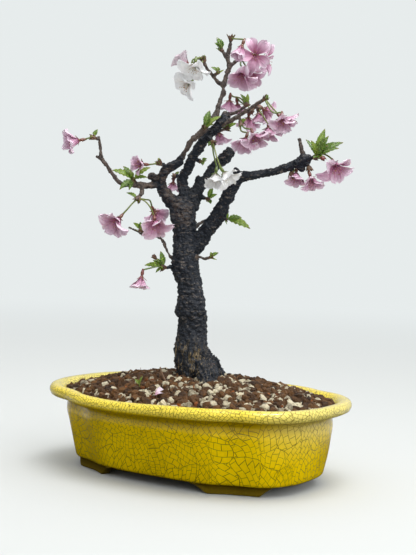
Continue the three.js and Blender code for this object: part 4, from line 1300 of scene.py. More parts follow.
class BONSAI_OT_soil(Operator):
    """Mounded bed of soil, with granules of baked clay and pumice over it"""

    bl_idname = "bonsai.soil"
    bl_label = "Soil"

    def execute(self, context):
        soil = context.scene.bonsai_soil
        # The bed shows only in the gaps between granules; its near-black is partly dark soil and partly
        # painted shade.
        dark = stone_material("soil_crumb", SOIL_SHADE, soil.akadama, 0.8, 0.0006)
        add_piece("soil_bed", soil_bed(), [dark], ["soil"])
        finishes = {
            "akadama": stone_material("akadama_clay", soil.akadama, soil.akadama_light, 0.72, 0.0005),
            "pumice": stone_material("pumice_stone", soil.pumice_dark, soil.pumice, 0.7, 0.0005),
            "grit": stone_material("fired_grit", soil.akadama, soil.orange, 0.7, 0.0003),
        }
        for kind, bm in sown_granules(soil).items():
            add_piece(f"granules_{kind}", mesh_of(bm, outward=False), [finishes[kind]])
        return {"FINISHED"}


# ---- Wood ----


# Height over which the old strands low on the trunk give way to the ringed bark above, in mm.
STRANDS_END = (112, 140)
# How near to 0 its noise comes where a split in the bark opens.
SPLIT_WIDTH = 0.14


def relief_on_trunk(point):
    """Height of the knots and hollows at a point of the tree, in mm."""
    height = 0.0
    for place, radius, swell in TRUNK_MARKS:
        away = (point - Vector(place)).length / radius
        if away < 1.6:
            height += swell * math.exp(-((away * 1.4) ** 2))
    return height


def joined_limbs(voxel):
    """All limbs and spurs under one smooth skin."""
    bm = new_bmesh()
    routes = [*TRUNK, *LIMBS, *((spray.spur, 0) for spray in SPRAYS)]
    for index, (route, rough) in enumerate(routes):
        thick = max(point[3] for point in route)

        def swell(angle, ring):
            place = Vector((math.cos(angle) * 1.3, math.sin(angle) * 1.3, ring * 0.22 + index * 7.3))
            return 1 + 2.2 * rough * noise.noise(place)

        add_tube(bm, route, 12 if thick < 4 else 24, max(1.2, thick * 0.2), uneven=swell)
    return with_modifiers(
        mesh_of(bm),
        ("REMESH", {"mode": "VOXEL", "voxel_size": voxel, "use_smooth_shade": True}),
        ("SMOOTH", {"factor": 0.6, "iterations": 7}),
    )


def bark_height(point, spoke, radius):
    """Height of the bark's relief: upright strands low down, rings and grooves higher up."""
    low = 1 - smoothstep(*STRANDS_END, point.z) if radius > 6 else 0
    upright = max(low, smoothstep(-0.05, 0.3, noise.noise(point * 0.045 + Vector((5, 0, 0)))))
    drift = point.z + 7 * noise.noise(point * 0.06)
    strand = noise.noise(Vector((spoke.x * 4.4, spoke.y * 4.4, drift * 0.045 + spoke.z)))
    band = noise.noise(Vector((point.x * 0.09, point.y * 0.09, drift * 0.3)))
    split = noise.noise(Vector((point.x * 0.1, point.y * 0.1, drift * 0.16 + 40)))
    groove = max(0, SPLIT_WIDTH - abs(split)) * 6
    height = upright * (1.3 + low) * strand + (1 - upright) * (0.9 * band - 0.8 * groove)
    return height + (1.1 * noise.noise(point * 0.3) + 0.6 * noise.noise(point * 0.85))


def finished_wood(tree):
    """All limbs as one body, with ridges and knots raised on it."""
    mesh = joined_limbs(tree.voxel)
    bm = new_bmesh()
    bm.from_mesh(mesh)
    bpy.data.meshes.remove(mesh)
    stations = [station for route, _ in [*TRUNK, *LIMBS] for station in curve_through(route, 3)]
    finder = KDTree(len(stations))
    for index, station in enumerate(stations):
        finder.insert(station.to_3d(), index)
    finder.balance()
    tone = bm.verts.layers.float["tone"]
    bm.normal_update()
    moves = []
    for vert in bm.verts:
        point = vert.co / MM
        found = finder.find_n(point, 8)
        centre, index, _ = min(found, key=lambda hit: hit[2] - stations[hit[1]][3])
        radius = stations[index][3]
        amount = tree.ridge / MM * min(1, 0.3 + radius / 11)
        relief = amount * bark_height(point, (point - centre).normalized(), radius)
        knot = noise.noise(point * 0.16 + Vector((9, 4, 2))) * 0.34 * radius * smoothstep(6, 3, radius)
        moves.append(vert.normal * (relief + knot + relief_on_trunk(point)) * MM)
        vert[tone] = youth_of(point, radius)
    for vert, move in zip(bm.verts, moves):
        vert.co += move
    bmesh.ops.transform(bm, matrix=Matrix.Diagonal((1 / MM, 1 / MM, 1 / MM, 1)), verts=bm.verts)
    for face in bm.faces:
        face.smooth = True
    return mesh_of(bm, TREE)


def youth_of(point, radius):
    """How brown the bark is: 0 on the old dark trunk, 1 on young twigs."""
    patch = 0.5 + noise.noise(point * 0.06) * 0.9
    young = smoothstep(4.2, 1.8, radius)
    upper_left = smoothstep(-20, -34, point.x) * smoothstep(246, 262, point.z)
    leading = smoothstep(-30, -16, point.x) * smoothstep(300, 318, point.z) * smoothstep(5, 3.5, radius)
    fork = math.exp(-(((point - Vector((-22, -9, 256))).length / 22) ** 2))
    right_limb = smoothstep(10, 30, point.x) * smoothstep(320, 300, point.z)
    brown = 0.8 * young + 0.6 * upper_left * patch + 0.5 * leading + 0.5 * fork * patch
    return min(1, max(0, brown * (1 - 0.6 * right_limb)))


def bark_material(colours):
    """Grey scales higher up and tan strands low on the left, with painted highlights where they stand out,
    brown on the young wood.
    """
    material, tree, shader = new_material("old_bark", specular_ior_level=0.3)
    place = object_coordinates(tree)
    strands_end = [height * MM for height in STRANDS_END]
    low = inverse(tree, climb(tree, axes_of(tree, place)["Z"], *strands_end))
    scales = noise_at(tree, stretch(tree, place, (0.55, 0.55, 1.5)), 300.0, 4.0, 0.8)
    strands = noise_at(tree, stretch(tree, place, (1.5, 1.5, 0.3)), 330.0, 4.0, 0.9)
    chips = noise_at(tree, place, 620.0, 4.0, 0.4)
    flakes = add_node(tree, "Mix", {0: low, 2: scales, 3: strands}, data_type="FLOAT").outputs[0]
    # Pale on the raised flakes: worn grey bark and painted highlights.
    old = blend(tree, climb(tree, flakes, 0.55, 0.76, 0.9), colours.bark, colours.bark_pale_and_highlight)
    to_right = (math.cos(FRONT_TURN), math.sin(FRONT_TURN), 0)
    across = compute_vector(tree, "DOT_PRODUCT", place, to_right, "Value")
    left = inverse(tree, climb(tree, across, -0.004, 0.012, 0.85))
    # Tan on the raised strands low on the left: bare strands and painted highlights.
    tan = times(tree, climb(tree, strands, 0.5, 0.66), times(tree, low, left))
    old = blend(tree, times(tree, tan, 0.8), old, colours.bark_tan_and_highlight)
    mottle = mottled(tree, place, colours.bark_brown, BARK_SHADE, 260.0, 900.0)
    brown_mask = climb(tree, times(tree, flakes, 1.5, tone_of(tree)), 0.95, 1.45)
    body = blend(tree, brown_mask, old, mottle["Colour"])
    pores = noise_at(tree, stretch(tree, place, (0.45, 0.45, 1.7)), 250.0, 2.0, 0.3)
    marked = blend(tree, times(tree, climb(tree, pores, 0.66, 0.76), 0.6), body, BARK_PORE)
    cracks = times(tree, inverse(tree, climb(tree, chips, 0.3, 0.48)), 0.8)
    feed(tree, shader, base_color=blend(tree, cracks, marked, BARK_CRACK),
         roughness=times(tree, flakes, 0.4, 0.4))
    relief = times(tree, chips, 0.8, times(tree, flakes, 1.4))
    relief = times(tree, noise_at(tree, place, 1700.0, 3.0), 0.3, relief)
    bump(tree, shader, relief, 0.0013, 0.9)
    return material


class BONSAI_OT_wood(Operator):
    """Trunk, roots and limbs with ridged bark"""

    bl_idname = "bonsai.wood"
    bl_label = "Wood"

    def execute(self, context):
        tree = context.scene.bonsai_tree
        add_piece("bark_wood", finished_wood(tree), [bark_material(tree)], ["tree_wood"])
        return {"FINISHED"}


# ---- Green parts: stalks, calyx tubes, bud scales and leaves ----

# Material of each part of a spray, in the order of their slots.
GREEN_MATERIALS = ("flower_stalk", "calyx_skin", "bud_scale", "young_leaf")
STALK, CALYX, SCALE, LEAF = range(4)
BUD_SKINS = {"calyx": CALYX, "scale": SCALE}
# A leaf wider than this is drawn finer and has a shorter leaf beside it.
WIDE_LEAF = 5
STALK_RADIUS = 0.78
# Shape of a leaf: share of its length that is stalk, length and depth of its teeth, its arch by its
# length, the fold along its rib by its half width and the pleats between its veins by its width.
LEAF_STALK = 0.12
TOOTH_LENGTH = 1.5
TOOTH_DEPTH = 0.26
LEAF_ARCH = 0.1
LEAF_FOLD = 0.42
LEAF_PLEAT = 0.09
# Tone of the green calyx of a white bloom; the others stay near 0, which is red.
WHITE_CALYX = 0.9


def leaf_place(start, tip, width, bend):
    """Place of a point of a leaf: a folded, arched blade on a short stalk."""
    along = tip - start
    length = along.length
    across = along.cross(Vector((0.1, -0.75, 0.65))).normalized()
    normal = across.cross(along).normalized()
    teeth = max(9, round(length / TOOTH_LENGTH))
    depth = TOOTH_DEPTH if width > 3.5 else TOOTH_DEPTH * 0.4

    def place(side, t):
        opened = min(1, max(0, (t - LEAF_STALK) / (1 - LEAF_STALK)))
        bulge = math.sin(math.pi * opened**0.82) ** 0.85
        tooth = 1 - depth * ((t * teeth) % 1) * abs(side)
        half = max(0.12 + 0.35 * (1 - t), width / 2 * bulge * tooth)
        veins = math.cos((t * 11 - abs(side) * 1.6) * math.pi)
        pleat = LEAF_PLEAT * width * veins * abs(side) * bulge
        arch = LEAF_ARCH * length * math.sin(math.pi * t) + LEAF_FOLD * half * abs(side) + pleat
        curl = bend * length * t * t
        return start + along * t + across * (side * half) + normal * (arch - curl)

    return place


def add_leaf(bm, start, tip, width, blade, chance):
    rows = 44 if width > WIDE_LEAF else 26
    place = leaf_place(start, tip, width * 1.12, chance.uniform(-0.02, 0.1))
    add_blade(bm, 8, rows, place, blade, LEAF, chance.random())


def add_scale(bm, start, way, reach, width, lean, turn, material, tone):
    """One cupped scale round a bud."""
    side_way = way.orthogonal().normalized()
    side_way.rotate(Matrix.Rotation(turn, 3, way).to_quaternion())
    across = way.cross(side_way)

    def place(side, t):
        half = max(0.12, width / 2 * math.sin(math.pi * min(1, 0.18 + 0.82 * t) ** 1.1))
        out = 0.5 * width * (1 - 0.35 * side * side) + math.sin(lean) * reach * t
        return start + way * (math.cos(lean) * reach * t) + side_way * out + across * (side * half)

    add_blade(bm, 4, 5, place, 0.28, material, tone)


def spur_end(spur):
    """Direction of a spur's last stretch, a point just past its tip and its radius there."""
    start = Vector(spur[0][:3])
    end = Vector(spur[1][:3])
    way = (end - start).normalized()
    return way, end + way * 0.3, spur[1][3]


def add_stalk(bm, start, stalk, chance):
    """Flower stalk, and the calyx tube it swells into under the bloom."""
    base = Vector(stalk.base)
    face = Vector(stalk.face).normalized()
    neck = base - face * 5
    via = [(*point, STALK_RADIUS) for point in stalk.via]
    route = [(*start, STALK_RADIUS * 1.25), *via, (*neck, STALK_RADIUS * 1.1)]
    add_tube(bm, route, 7, 2.2, STALK, chance.random())
    profile = [(6, 0.9), (4.6, 1.2), (3, 1.6), (1.4, 1.7), (0, 1.4)]
    tube = [(*(base - face * below), radius) for below, radius in profile]
    tone = WHITE_CALYX if stalk.bloom in WHITE_BLOOMS else chance.uniform(0, 0.2)
    add_tube(bm, tube, 9, 0.8, CALYX, tone)


def add_bud(bm, start, place, skin, chance):
    """A small closed bud, or a calyx that has lost its petals, on its own stalk."""
    way = (place - start).normalized()
    add_tube(bm, [(*start, 0.75), (*place, 0.65)], 6, 2.2, STALK, chance.random())
    profile = [(0, 0.9), (2, 2), (4, 2.1), (5.5, 1)]
    body = [(*(place + way * along), radius) for along, radius in profile]
    add_tube(bm, body, 9, 1, skin, chance.uniform(0, 0.4))
    for index in range(5):
        add_scale(bm, place + way * 1.5, way, 4, 2.4, 0.35, index * 1.26, skin, chance.uniform(0, 0.5))


def add_bud_scales(bm, start, way, radius, big, chance):
    """The spur's opened bud: a core, dry scales in a spiral and three young leaf tips."""
    core = [(*start, radius * 0.9), (*(start + way * 3.5), radius * 0.55)]
    add_tube(bm, core, 8, 0.9, SCALE, 0.5)
    for index in range(12):
        turn = index * 2.4 + chance.uniform(-0.2, 0.2)
        reach = chance.uniform(2.6, 4.6) * big
        add_scale(bm, start + way * (index * 0.2 - 1), way, reach, radius * 1.3 * big,
                  chance.uniform(0.1, 0.7), turn, SCALE, chance.random())
    for index in range(3):
        add_scale(bm, start + way, way, chance.uniform(4.2, 6.5), 1.9, chance.uniform(0.35, 0.8),
                  index * 2.1 + chance.uniform(0, 1), LEAF, chance.uniform(0.6, 1))


def green_shape(spray, blade, chance):
    """The green of one spray: bud scales, leaves, stalks and buds, with blades of a thickness."""
    way, start, radius = spur_end(spray.spur)
    middle = start + way * 2
    bm = new_bmesh()
    add_bud_scales(bm, start, way, radius, 1.35 if spray.stalks else 1, chance)
    for count, (tip, width) in enumerate(spray.leaves):
        tip = Vector(tip)
        add_leaf(bm, middle + way * (0.2 * count + 0.2), tip, width, blade, chance)
        if width > WIDE_LEAF:
            turned = Matrix.Rotation(chance.choice((-0.5, 0.5)), 3, (0.2, -1, 0.2)) @ (tip - middle)
            short = chance.uniform(0.6, 0.75)
            add_leaf(bm, middle, middle + turned * short, width * short, blade, chance)
    for stalk in spray.stalks:
        add_stalk(bm, middle, stalk, chance)
    for skin, place in spray.buds:
        add_bud(bm, middle, Vector(place), BUD_SKINS[skin], chance)
    return mesh_of(bm, TREE, outward=False)


def leaf_material(green):
    material, tree, shader = new_material(
        "young_leaf", specular_ior_level=0.4, subsurface_weight=0.35, subsurface_scale=0.0008,
        subsurface_radius=(0.5, 1.0, 0.2),
    )
    spot = axes_of(tree, surface_coordinates(tree))
    blade = tissue(tree, spot, 5.0, 22.0)
    tint = times(tree, blade["Cloud"], 0.5, tone_of(tree))
    body = blend(tree, climb(tree, tint, 0.35, 1.25), green.leaf, green.leaf_young)
    from_rib = compute(tree, "ABSOLUTE", compute(tree, "SUBTRACT", spot["X"], 0.5))
    rib = inverse(tree, climb(tree, from_rib, 0.015, 0.05))
    pale = compute(tree, "MAXIMUM", times(tree, rib, 0.75), times(tree, blade["Vein"], 0.4))
    veined = blend(tree, pale, body, LEAF_RIB)
    edge = climb(tree, spot["Y"], 0.86, 1.0, 0.55)
    feed(tree, shader, base_color=blend(tree, edge, veined, LEAF_TIP),
         roughness=times(tree, blade["Cloud"], 0.25, 0.32))
    bump(tree, shader, compute(tree, "ADD", blade["Vein"], rib), 0.0003, 0.6)
    return material


def stem_material(name, low, high, roughness):
    """Stems and tubes, streaked along their length, from a low colour to a high one with their tone."""
    material, tree, shader = new_material(
        name, specular_ior_level=0.45, subsurface_weight=0.1, subsurface_scale=0.0006,
    )
    streaks = noise_at(tree, stretch(tree, surface_coordinates(tree), (7, 2.2, 1)), 2.0, 3.0)
    between = [0.7 * a + 0.3 * b for a, b in zip(low, high)]
    mottle = mottled(tree, object_coordinates(tree), low, between, 260.0, 1400.0)
    turned = climb(tree, times(tree, streaks, 0.45, tone_of(tree)), 0.3, 0.95)
    feed(tree, shader, base_color=blend(tree, turned, mottle["Colour"], high),
         roughness=times(tree, streaks, 0.2, roughness))
    bump(tree, shader, compute(tree, "ADD", streaks, mottle["Relief"]), 0.00015, 0.6)
    return material


class BONSAI_OT_green(Operator):
    """Sprays of leaves, flower stalks and bud scales on their spurs"""

    bl_idname = "bonsai.green"
    bl_label = "Sprays"

    def execute(self, context):
        green = context.scene.bonsai_green
        finishes = [
            stem_material("flower_stalk", green.stalk, STALK_PALE, 0.35),
            stem_material("calyx_skin", green.calyx, green.calyx_green, 0.35),
            stem_material("bud_scale", green.scale, SCALE_PALE, 0.5),
            leaf_material(green),
        ]
        for index, spray in enumerate(SPRAYS):
            mesh = green_shape(spray, green.blade / MM, random.Random(SPRAY_SEED + index))
            add_piece(f"green_{spray.name}", mesh, finishes, [f"spray_{spray.name}"])
        return {"FINISHED"}


# ---- Blooms ----

# Slots of a bloom's materials.
PETAL, SEPAL, FILAMENT, ANTHER = range(4)
PETALS = 5
PETAL_GRID = (10, 14)
# Shape of a petal: where it is widest, half its width by its length, where its root stands from the
# bloom's axis and above its base, how it cups by its half width, and how deep its middle crease is.
PETAL_WIDEST = 0.6
PETAL_HALF_WIDTH = 0.38
PETAL_ROOT = (1.5, 1.2)
PETAL_CUP = 0.42
PETAL_CREASE = 0.03
# Turn from one stamen to the next, which spreads them evenly.
STAMEN_TURN = 2.399


def scatter(a, b):
    """A repeatable number from -0.5 to 0.5 for a pair of numbers."""
    wave = math.sin(a * 12.9898 + b * 78.233) * 43758.5453
    return wave - math.floor(wave) - 0.5


def petal_place(index, length, open_angle, turned, chance):
    """Place of a point of one petal of five round the Z axis, a spoon that flares at its tip."""
    turn = (index + 0.25) * 2 * math.pi / PETALS + 0.3 * scatter(index, length) + turned
    opened = math.radians(open_angle + 24 * scatter(index, open_angle))
    length *= 1.02 + 0.16 * scatter(length, index)
    outward = level_way(turn)
    sideways = Vector((-math.sin(turn), math.cos(turn), 0))
    twist = math.radians(chance.uniform(5, 18))
    seed = Vector([chance.uniform(-90, 90) for _ in range(3)])
    flare = chance.uniform(-0.12, 0.3)
    notch = chance.uniform(0.1, 0.22)

    def place(side, t):
        past = t - PETAL_WIDEST
        swell = (t / PETAL_WIDEST) ** 0.8 if past < 0 else math.sqrt(max(0, 1 - (past / 0.43) ** 2))
        half = max(0.15, length * PETAL_HALF_WIDTH * swell)
        corner = 0.1 * abs(side) ** 3 * smoothstep(0.7, 1, t)
        dent = notch * smoothstep(0.55, 1, t) * (1 - abs(side)) ** 1.3
        reach = t * length * (1.06 - dent - corner)
        tilt = opened * (0.62 + 0.46 * t) + flare * smoothstep(0.55, 1, t)
        away = PETAL_ROOT[0] + reach * math.sin(tilt)
        ahead = PETAL_ROOT[1] + reach * math.cos(tilt)
        cup = PETAL_CUP * half * side * side
        crease = -PETAL_CREASE * length * t * math.exp(-((side / 0.16) ** 2))
        bend = noise.noise(seed + Vector((side * 1.5, t * 2.2, 0))) * 0.16 * length * t
        ruffle = noise.noise(seed + Vector((side * 4, t * 4.5, 9))) * 0.07 * length * t * (0.3 + abs(side))
        lap = math.sin(twist) * side * half
        point = outward * away + sideways * (side * half * math.cos(twist))
        normal = outward * -math.cos(tilt) + Z_AXIS * math.sin(tilt)
        return point + Z_AXIS * ahead + normal * (cup + crease + bend + ruffle + lap)

    return place


def add_stamens(bm, count, length, chance):
    """Threads that rise from the cup and spread, each with its anther."""
    for index in range(count):
        turn = index * STAMEN_TURN + chance.uniform(-0.3, 0.3)
        lean = chance.uniform(0.08, 0.5)
        reach = length * chance.uniform(0.3, 0.62)
        outward = level_way(turn)
        root = outward * chance.uniform(0.5, 1.5) + Z_AXIS * 1.6
        middle = root + (outward * math.sin(lean) * 0.4 + Z_AXIS * math.cos(lean * 0.6)) * reach * 0.5
        tip = root + (outward * math.sin(lean) + Z_AXIS * math.cos(lean)) * reach
        tone = chance.random()
        add_tube(bm, [(*root, 0.15), (*middle, 0.12), (*tip, 0.1)], 4, 3.0, FILAMENT, tone)
        way = (tip - middle).normalized()
        side = way.orthogonal().normalized() * 0.42
        anther = [(*(tip - side + way * 0.2), 0.2), (*(tip + way * 0.3), 0.28), (*(tip + side), 0.2)]
        add_tube(bm, anther, 5, 1.2, ANTHER, tone)


def add_bloom(bm, stalk, settings, chance):
    """A bloom round the Z axis: cup, sepals, petals and stamens, then set on its calyx."""
    own = new_bmesh()
    tone = WHITE_CALYX if stalk.bloom in WHITE_BLOOMS else chance.uniform(0, 0.1)
    cup = [(0, 0, 0.2, 1.3), (0, 0, 1.2, 1.75), (0, 0, 2.2, 2.1)]
    add_tube(own, cup, 10, 0.7, SEPAL, tone)
    lean = min(1.9, math.radians(stalk.opened) + 0.35)
    for index in range(PETALS):
        turn = (index + 0.75) * 2 * math.pi / PETALS
        add_scale(own, Vector((0, 0, 1.3)), Z_AXIS, 5.2, 2.3, lean, turn, SEPAL, tone)
    for index in range(PETALS):
        place = petal_place(index, stalk.petal, stalk.opened, math.radians(stalk.turn), chance)
        add_blade(own, *PETAL_GRID, place, settings.thickness / MM, PETAL, chance.random())
    add_stamens(own, settings.stamens, stalk.petal, chance)
    face = Vector(stalk.face).normalized()
    seat = Matrix.Translation(Vector(stalk.base) + face * 0.3)
    turned = Z_AXIS.rotation_difference(face).to_matrix().to_4x4()
    bmesh.ops.transform(own, matrix=seat @ turned, verts=own.verts)
    pour(own, bm)


def petal_material(name, heart, body, edge, vein, vein_share, heart_reach):
    """Thin tissue, deep in the heart and paler to the edge, with fine veins."""
    material, tree, shader = new_material(
        name, specular_ior_level=0.1, subsurface_weight=0.3, subsurface_scale=0.0003,
        subsurface_radius=(1.0, 1.0, 1.0),
    )
    spot = axes_of(tree, surface_coordinates(tree))
    blade = tissue(tree, spot, 17.0, 0.0)
    faded = blend(tree, blade["Edge"], body, edge)
    near_heart = times(tree, blade["Vein"], -0.26, times(tree, blade["Cloud"], 0.16, spot["Y"]))
    deep = inverse(tree, climb(tree, near_heart, 0.12, heart_reach))
    warm = blend(tree, times(tree, deep, 0.9), faded, heart)
    veined = blend(tree, times(tree, blade["Vein"], vein_share), warm, vein)
    cloudy = blend(tree, times(tree, blade["Cloud"], 0.3), veined, edge)
    feed(tree, shader, base_color=cloudy, roughness=times(tree, blade["Cloud"], 0.25, 0.42))
    bump(tree, shader, compute(tree, "SUBTRACT", blade["Cloud"], blade["Vein"]), 0.0002, 0.5)
    return material


def bloom_finishes(settings, green):
    """Materials of the three kinds of bloom, by the slot their pieces fill."""
    pink = petal_material(
        "pink_petal", settings.petal_heart, settings.petal, settings.petal_edge, PINK_VEIN, 0.6, 0.86)
    pale = petal_material("pale_petal", PALE_HEART, settings.petal_pale, PALE_EDGE, PALE_VEIN, 0.5, 0.6)
    white = petal_material(
        "white_petal", WHITE_HEART, settings.petal_white, WHITE_EDGE, WHITE_VEIN, 0.3, 0.45)
    sepal = stem_material("sepal_skin", green.calyx, green.calyx_green, 0.35)
    filament = stem_material("filament", settings.filament, FILAMENT_TIP, 0.4)
    anther = stem_material("anther", settings.anther, ANTHER_TIP, 0.6)
    thread = stem_material("pale_filament", THREAD, THREAD_TIP, 0.4)
    return {
        "petal_white": [white, sepal, thread, anther],
        "petal_pale": [pale, sepal, filament, anther],
        "petal_pink": [pink, sepal, filament, anther],
    }


class BONSAI_OT_blooms(Operator):
    """Blossoms with five notched petals and a brush of stamens"""

    bl_idname = "bonsai.blooms"
    bl_label = "Blooms"

    def execute(self, context):
        settings = context.scene.bonsai_bloom
        finishes = bloom_finishes(settings, context.scene.bonsai_green)
        shapes = {}
        for index, stalk in enumerate(stalk for spray in SPRAYS for stalk in spray.stalks):
            if stalk.bloom not in shapes:
                shapes[stalk.bloom] = new_bmesh()
            add_bloom(shapes[stalk.bloom], stalk, settings, random.Random(BLOOM_SEED + index))
        for name, bm in shapes.items():
            slot = "petal_pink"
            if name in WHITE_BLOOMS:
                slot = "petal_white"
            elif name in PALE_BLOOMS:
                slot = "petal_pale"
            mesh = mesh_of(bm, TREE, outward=False)
            add_piece(f"blossom_{name}", mesh, finishes[slot], [f"bloom_{name}"])
        return {"FINISHED"}


# ---- Litter ----


def petal_on_soil(thickness, chance):
    bm = new_bmesh()
    add_blade(bm, *PETAL_GRID, petal_place(0, 11, 84, 0, chance), thickness, 0, 0.4)
    lie = Matrix.Translation(PETAL_SPOT) @ Matrix.Rotation(0.9, 4, "Z") @ Matrix.Rotation(0.35, 4, "X")
    bmesh.ops.transform(bm, matrix=lie, verts=bm.verts)
    return mesh_of(bm, outward=False)


def sprout(chance):
    """A short stem with small leaves and one long hair of root."""
    bm = new_bmesh()
    root = SPROUT_SPOT
    add_tube(bm, [(*root, 0.6), (*(root + Vector((1, 0, 6))), 0.5)], 6, 2, STALK, 0.6)
    for count, (tip, width) in enumerate(SPROUT_LEAVES):
        add_leaf(bm, root + Vector((0.6, 0, 3 + 0.3 * count)), root + Vector(tip), width, 0.3, chance)
    hair = [(*root, 0.3), (*(root + Vector((0, 0, 11))), 0.25), (*(root + Vector((1, 0, 19))), 0.2)]
    add_tube(bm, hair, 5, 3, SCALE, 0.2)
    return mesh_of(bm, outward=False)


def twig_stub():
    bm = new_bmesh()
    bend = STUB_SPOT + Vector((-3, -2, 7))
    route = [(*STUB_SPOT, 1.1), (*bend, 0.9), (*(bend + Vector((-2, -1, 7))), 0.7)]
    add_tube(bm, route, 7, 1.5, 0, 0.9, lambda angle, ring: 1 + 0.4 * scatter(ring, round(angle) % 6))
    return mesh_of(bm)


class BONSAI_OT_litter(Operator):
    """A fallen petal, a sprout and the stub of a twig on the soil"""

    bl_idname = "bonsai.litter"
    bl_label = "Litter"

    def execute(self, context):
        chance = random.Random(LITTER_SEED)
        materials = bpy.data.materials
        thickness = context.scene.bonsai_bloom.thickness / MM
        add_piece("fallen_petal", petal_on_soil(thickness, chance), [materials["pale_petal"]])
        add_piece("sprout", sprout(chance), [materials[name] for name in GREEN_MATERIALS])
        add_piece("twig_stub", twig_stub(), [materials["bud_scale"]])
        return {"FINISHED"}


# ---- Stage ----

# Metres, with the focal length and the image's height in pixels and the sensor in millimetres.
CAMERA_PITCH = math.radians(2.43)
CAMERA_ROLL = math.radians(1.96)
CAMERA_DISTANCE = 1.114
CAMERA_HEIGHT = 0.239
CAMERA_ASIDE = 0.0064
FOCAL_PIXELS = 1142.2
IMAGE_HEIGHT = 555
SENSOR = 36
# Lamps as (metres right, toward the camera and up), height they look at, size, spread in degrees.
LAMPS = {
    "key": ((0.4, 0.55, 2.3), 0.1, (1.3, 1.2), 180),
    "strip": ((0.25, 0.32, 1.1), 0.1, (0.7, 0.03), 180),
    "fill": ((0.75, 1.3, 0.6), 0.02, (0.6, 0.6), 26),
}
# Level directions seen from the camera: to the right, and away from it.
ACROSS = level_way(FRONT_TURN)
BACK = Vector((-math.sin(FRONT_TURN), math.cos(FRONT_TURN), 0))


def camera_rays(tree):
    return add_node(tree, "LightPath").outputs["Is Camera Ray"]


def floor_material(stage):
    """Pale floor that takes shadows near the pot and turns into the backdrop far away."""
    material, tree, shader = new_material(
        "pale_floor", roughness=0.9, specular_ior_level=0.0, emission_strength=1.0,
    )
    place = object_coordinates(tree)
    away = compute_vector(tree, "LENGTH", place, result="Value")
    far = climb(tree, away, 0.5, 2.6)
    speckle = times(tree, noise_at(tree, place, 900.0, 2.0), 0.05)
    near = blend(tree, speckle, stage.floor, FLOOR_SPECKLE)
    bounce = blend(tree, climb(tree, away, 0.2, 0.34), FLOOR_NEAR_POT, FLOOR_AROUND)
    seen = camera_rays(tree)
    near = blend(tree, seen, bounce, near)
    glow = blend(tree, seen, FAR_GLOW, stage.backdrop)
    feed(tree, shader, base_color=blend(tree, far, near, BLACK),
         emission_color=blend(tree, far, BLACK, glow))
    return material


def soft_world(stage):
    """Even backdrop whose light is brighter from above and from the right of the camera."""
    world = bpy.data.worlds.new("soft_light")
    world.use_nodes = True
    tree = world.node_tree
    way = add_node(tree, "TexCoord").outputs["Generated"]
    brighter = compute_vector(tree, "DOT_PRODUCT", way, ACROSS * 0.55 + Z_AXIS * 0.8, "Value")
    lit = blend(tree, climb(tree, brighter, -0.75, 0.9), SKY_LOW, SKY_HIGH)
    mixed = blend(tree, camera_rays(tree), lit, stage.backdrop)
    tree.links.new(mixed, tree.nodes["Background"].inputs["Color"])
    return world


def add_light(name, place, aim, size, spread, power):
    light = bpy.data.lights.new(name, "AREA")
    light.spread = math.radians(spread)
    light.shape = "RECTANGLE"
    light.size, light.size_y = size
    light.energy = power
    lamp = add_object(name, light)
    lamp.location = ACROSS * place[0] - BACK * place[1] + Z_AXIS * place[2]
    way = Z_AXIS * aim - lamp.location
    lamp.rotation_euler = way.to_track_quat("-Z", "Y").to_euler()
    # The strip shows only as a gloss.
    lamp.visible_diffuse = name != "strip"


def add_camera():
    camera = bpy.data.cameras.new("camera")
    camera.sensor_fit = "VERTICAL"
    camera.sensor_height = SENSOR
    camera.lens = FOCAL_PIXELS * SENSOR / IMAGE_HEIGHT
    camera.clip_start = 0.05
    camera.clip_end = 50
    view = add_object("camera", camera)
    forward = BACK * math.cos(CAMERA_PITCH) - Z_AXIS * math.sin(CAMERA_PITCH)
    upward = (-forward).cross(ACROSS)
    right = ACROSS * math.cos(CAMERA_ROLL) + upward * math.sin(CAMERA_ROLL)
    up = upward * math.cos(CAMERA_ROLL) - ACROSS * math.sin(CAMERA_ROLL)
    place = ACROSS * CAMERA_ASIDE - BACK * CAMERA_DISTANCE + Z_AXIS * CAMERA_HEIGHT
    turned = Matrix((right, up, -forward)).transposed().to_4x4()
    view.matrix_world = Matrix.Translation(place) @ turned
    bpy.context.scene.camera = view


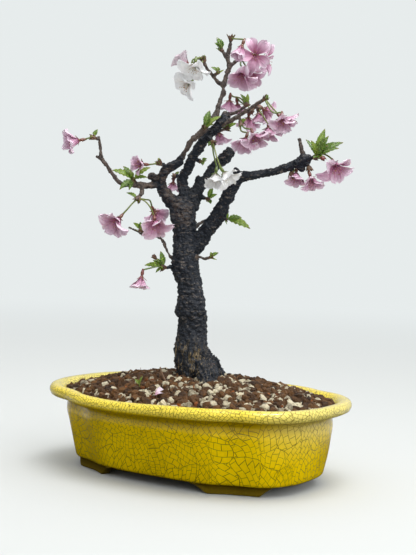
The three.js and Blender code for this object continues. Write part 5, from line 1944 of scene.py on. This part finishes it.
class BONSAI_OT_stage(Operator):
    """Pale floor, soft lights and the camera"""

    bl_idname = "bonsai.stage"
    bl_label = "Stage"

    def execute(self, context):
        stage = context.scene.bonsai_stage
        bm = new_bmesh()
        bmesh.ops.create_circle(bm, cap_ends=True, segments=96, radius=stage.floor_radius / MM)
        mesh = mesh_of(bm, outward=False)
        mesh.materials.append(floor_material(stage))
        floor = add_object("floor", mesh)
        floor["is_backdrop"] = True
        context.scene.world = soft_world(stage)
        for name, (place, aim, size, spread) in LAMPS.items():
            add_light(name, place, aim, size, spread, getattr(stage, name))
        context.scene.view_settings.view_transform = "Standard"
        add_camera()
        return {"FINISHED"}


# ---- Add-on ----

SETTINGS = {
    "bonsai_pot": PotSettings,
    "bonsai_soil": SoilSettings,
    "bonsai_tree": TreeSettings,
    "bonsai_green": GreenSettings,
    "bonsai_bloom": BloomSettings,
    "bonsai_stage": StageSettings,
}
OPERATORS = (
    BONSAI_OT_pot, BONSAI_OT_soil, BONSAI_OT_wood, BONSAI_OT_green, BONSAI_OT_blooms, BONSAI_OT_stage,
    BONSAI_OT_litter,
)


class BONSAI_PT_panel(Panel):
    """Sizes and colours of the bonsai, and the pieces it is made of"""

    bl_idname = "BONSAI_PT_panel"
    bl_label = "Cherry Blossom Bonsai"
    bl_space_type = "VIEW_3D"
    bl_region_type = "UI"
    bl_category = "Bonsai"

    def draw(self, context):
        for name, operator in zip(SETTINGS, OPERATORS):
            box = self.layout.box()
            for field in SETTINGS[name].bl_rna.properties:
                if field.identifier not in ("rna_type", "name"):
                    box.prop(getattr(context.scene, name), field.identifier)
            box.operator(operator.bl_idname)
        self.layout.operator(BONSAI_OT_litter.bl_idname)


def register():
    for name, group in SETTINGS.items():
        bpy.utils.register_class(group)
        setattr(bpy.types.Scene, name, PointerProperty(type=group))
    for operator in OPERATORS:
        bpy.utils.register_class(operator)
    bpy.utils.register_class(BONSAI_PT_panel)


def unregister():
    bpy.utils.unregister_class(BONSAI_PT_panel)
    for operator in reversed(OPERATORS):
        bpy.utils.unregister_class(operator)
    for name, group in SETTINGS.items():
        delattr(bpy.types.Scene, name)
        bpy.utils.unregister_class(group)


def main():
    register()
    bpy.ops.bonsai.pot()
    bpy.ops.bonsai.soil()
    bpy.ops.bonsai.wood()
    bpy.ops.bonsai.green()
    bpy.ops.bonsai.blooms()
    bpy.ops.bonsai.litter()
    bpy.ops.bonsai.stage()
    boxes = {"cad": CAD_BOX, "visual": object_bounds()}
    boxes = {name: [list(corner) for corner in box] for name, box in boxes.items()}


if __name__ == "__main__":
    main()
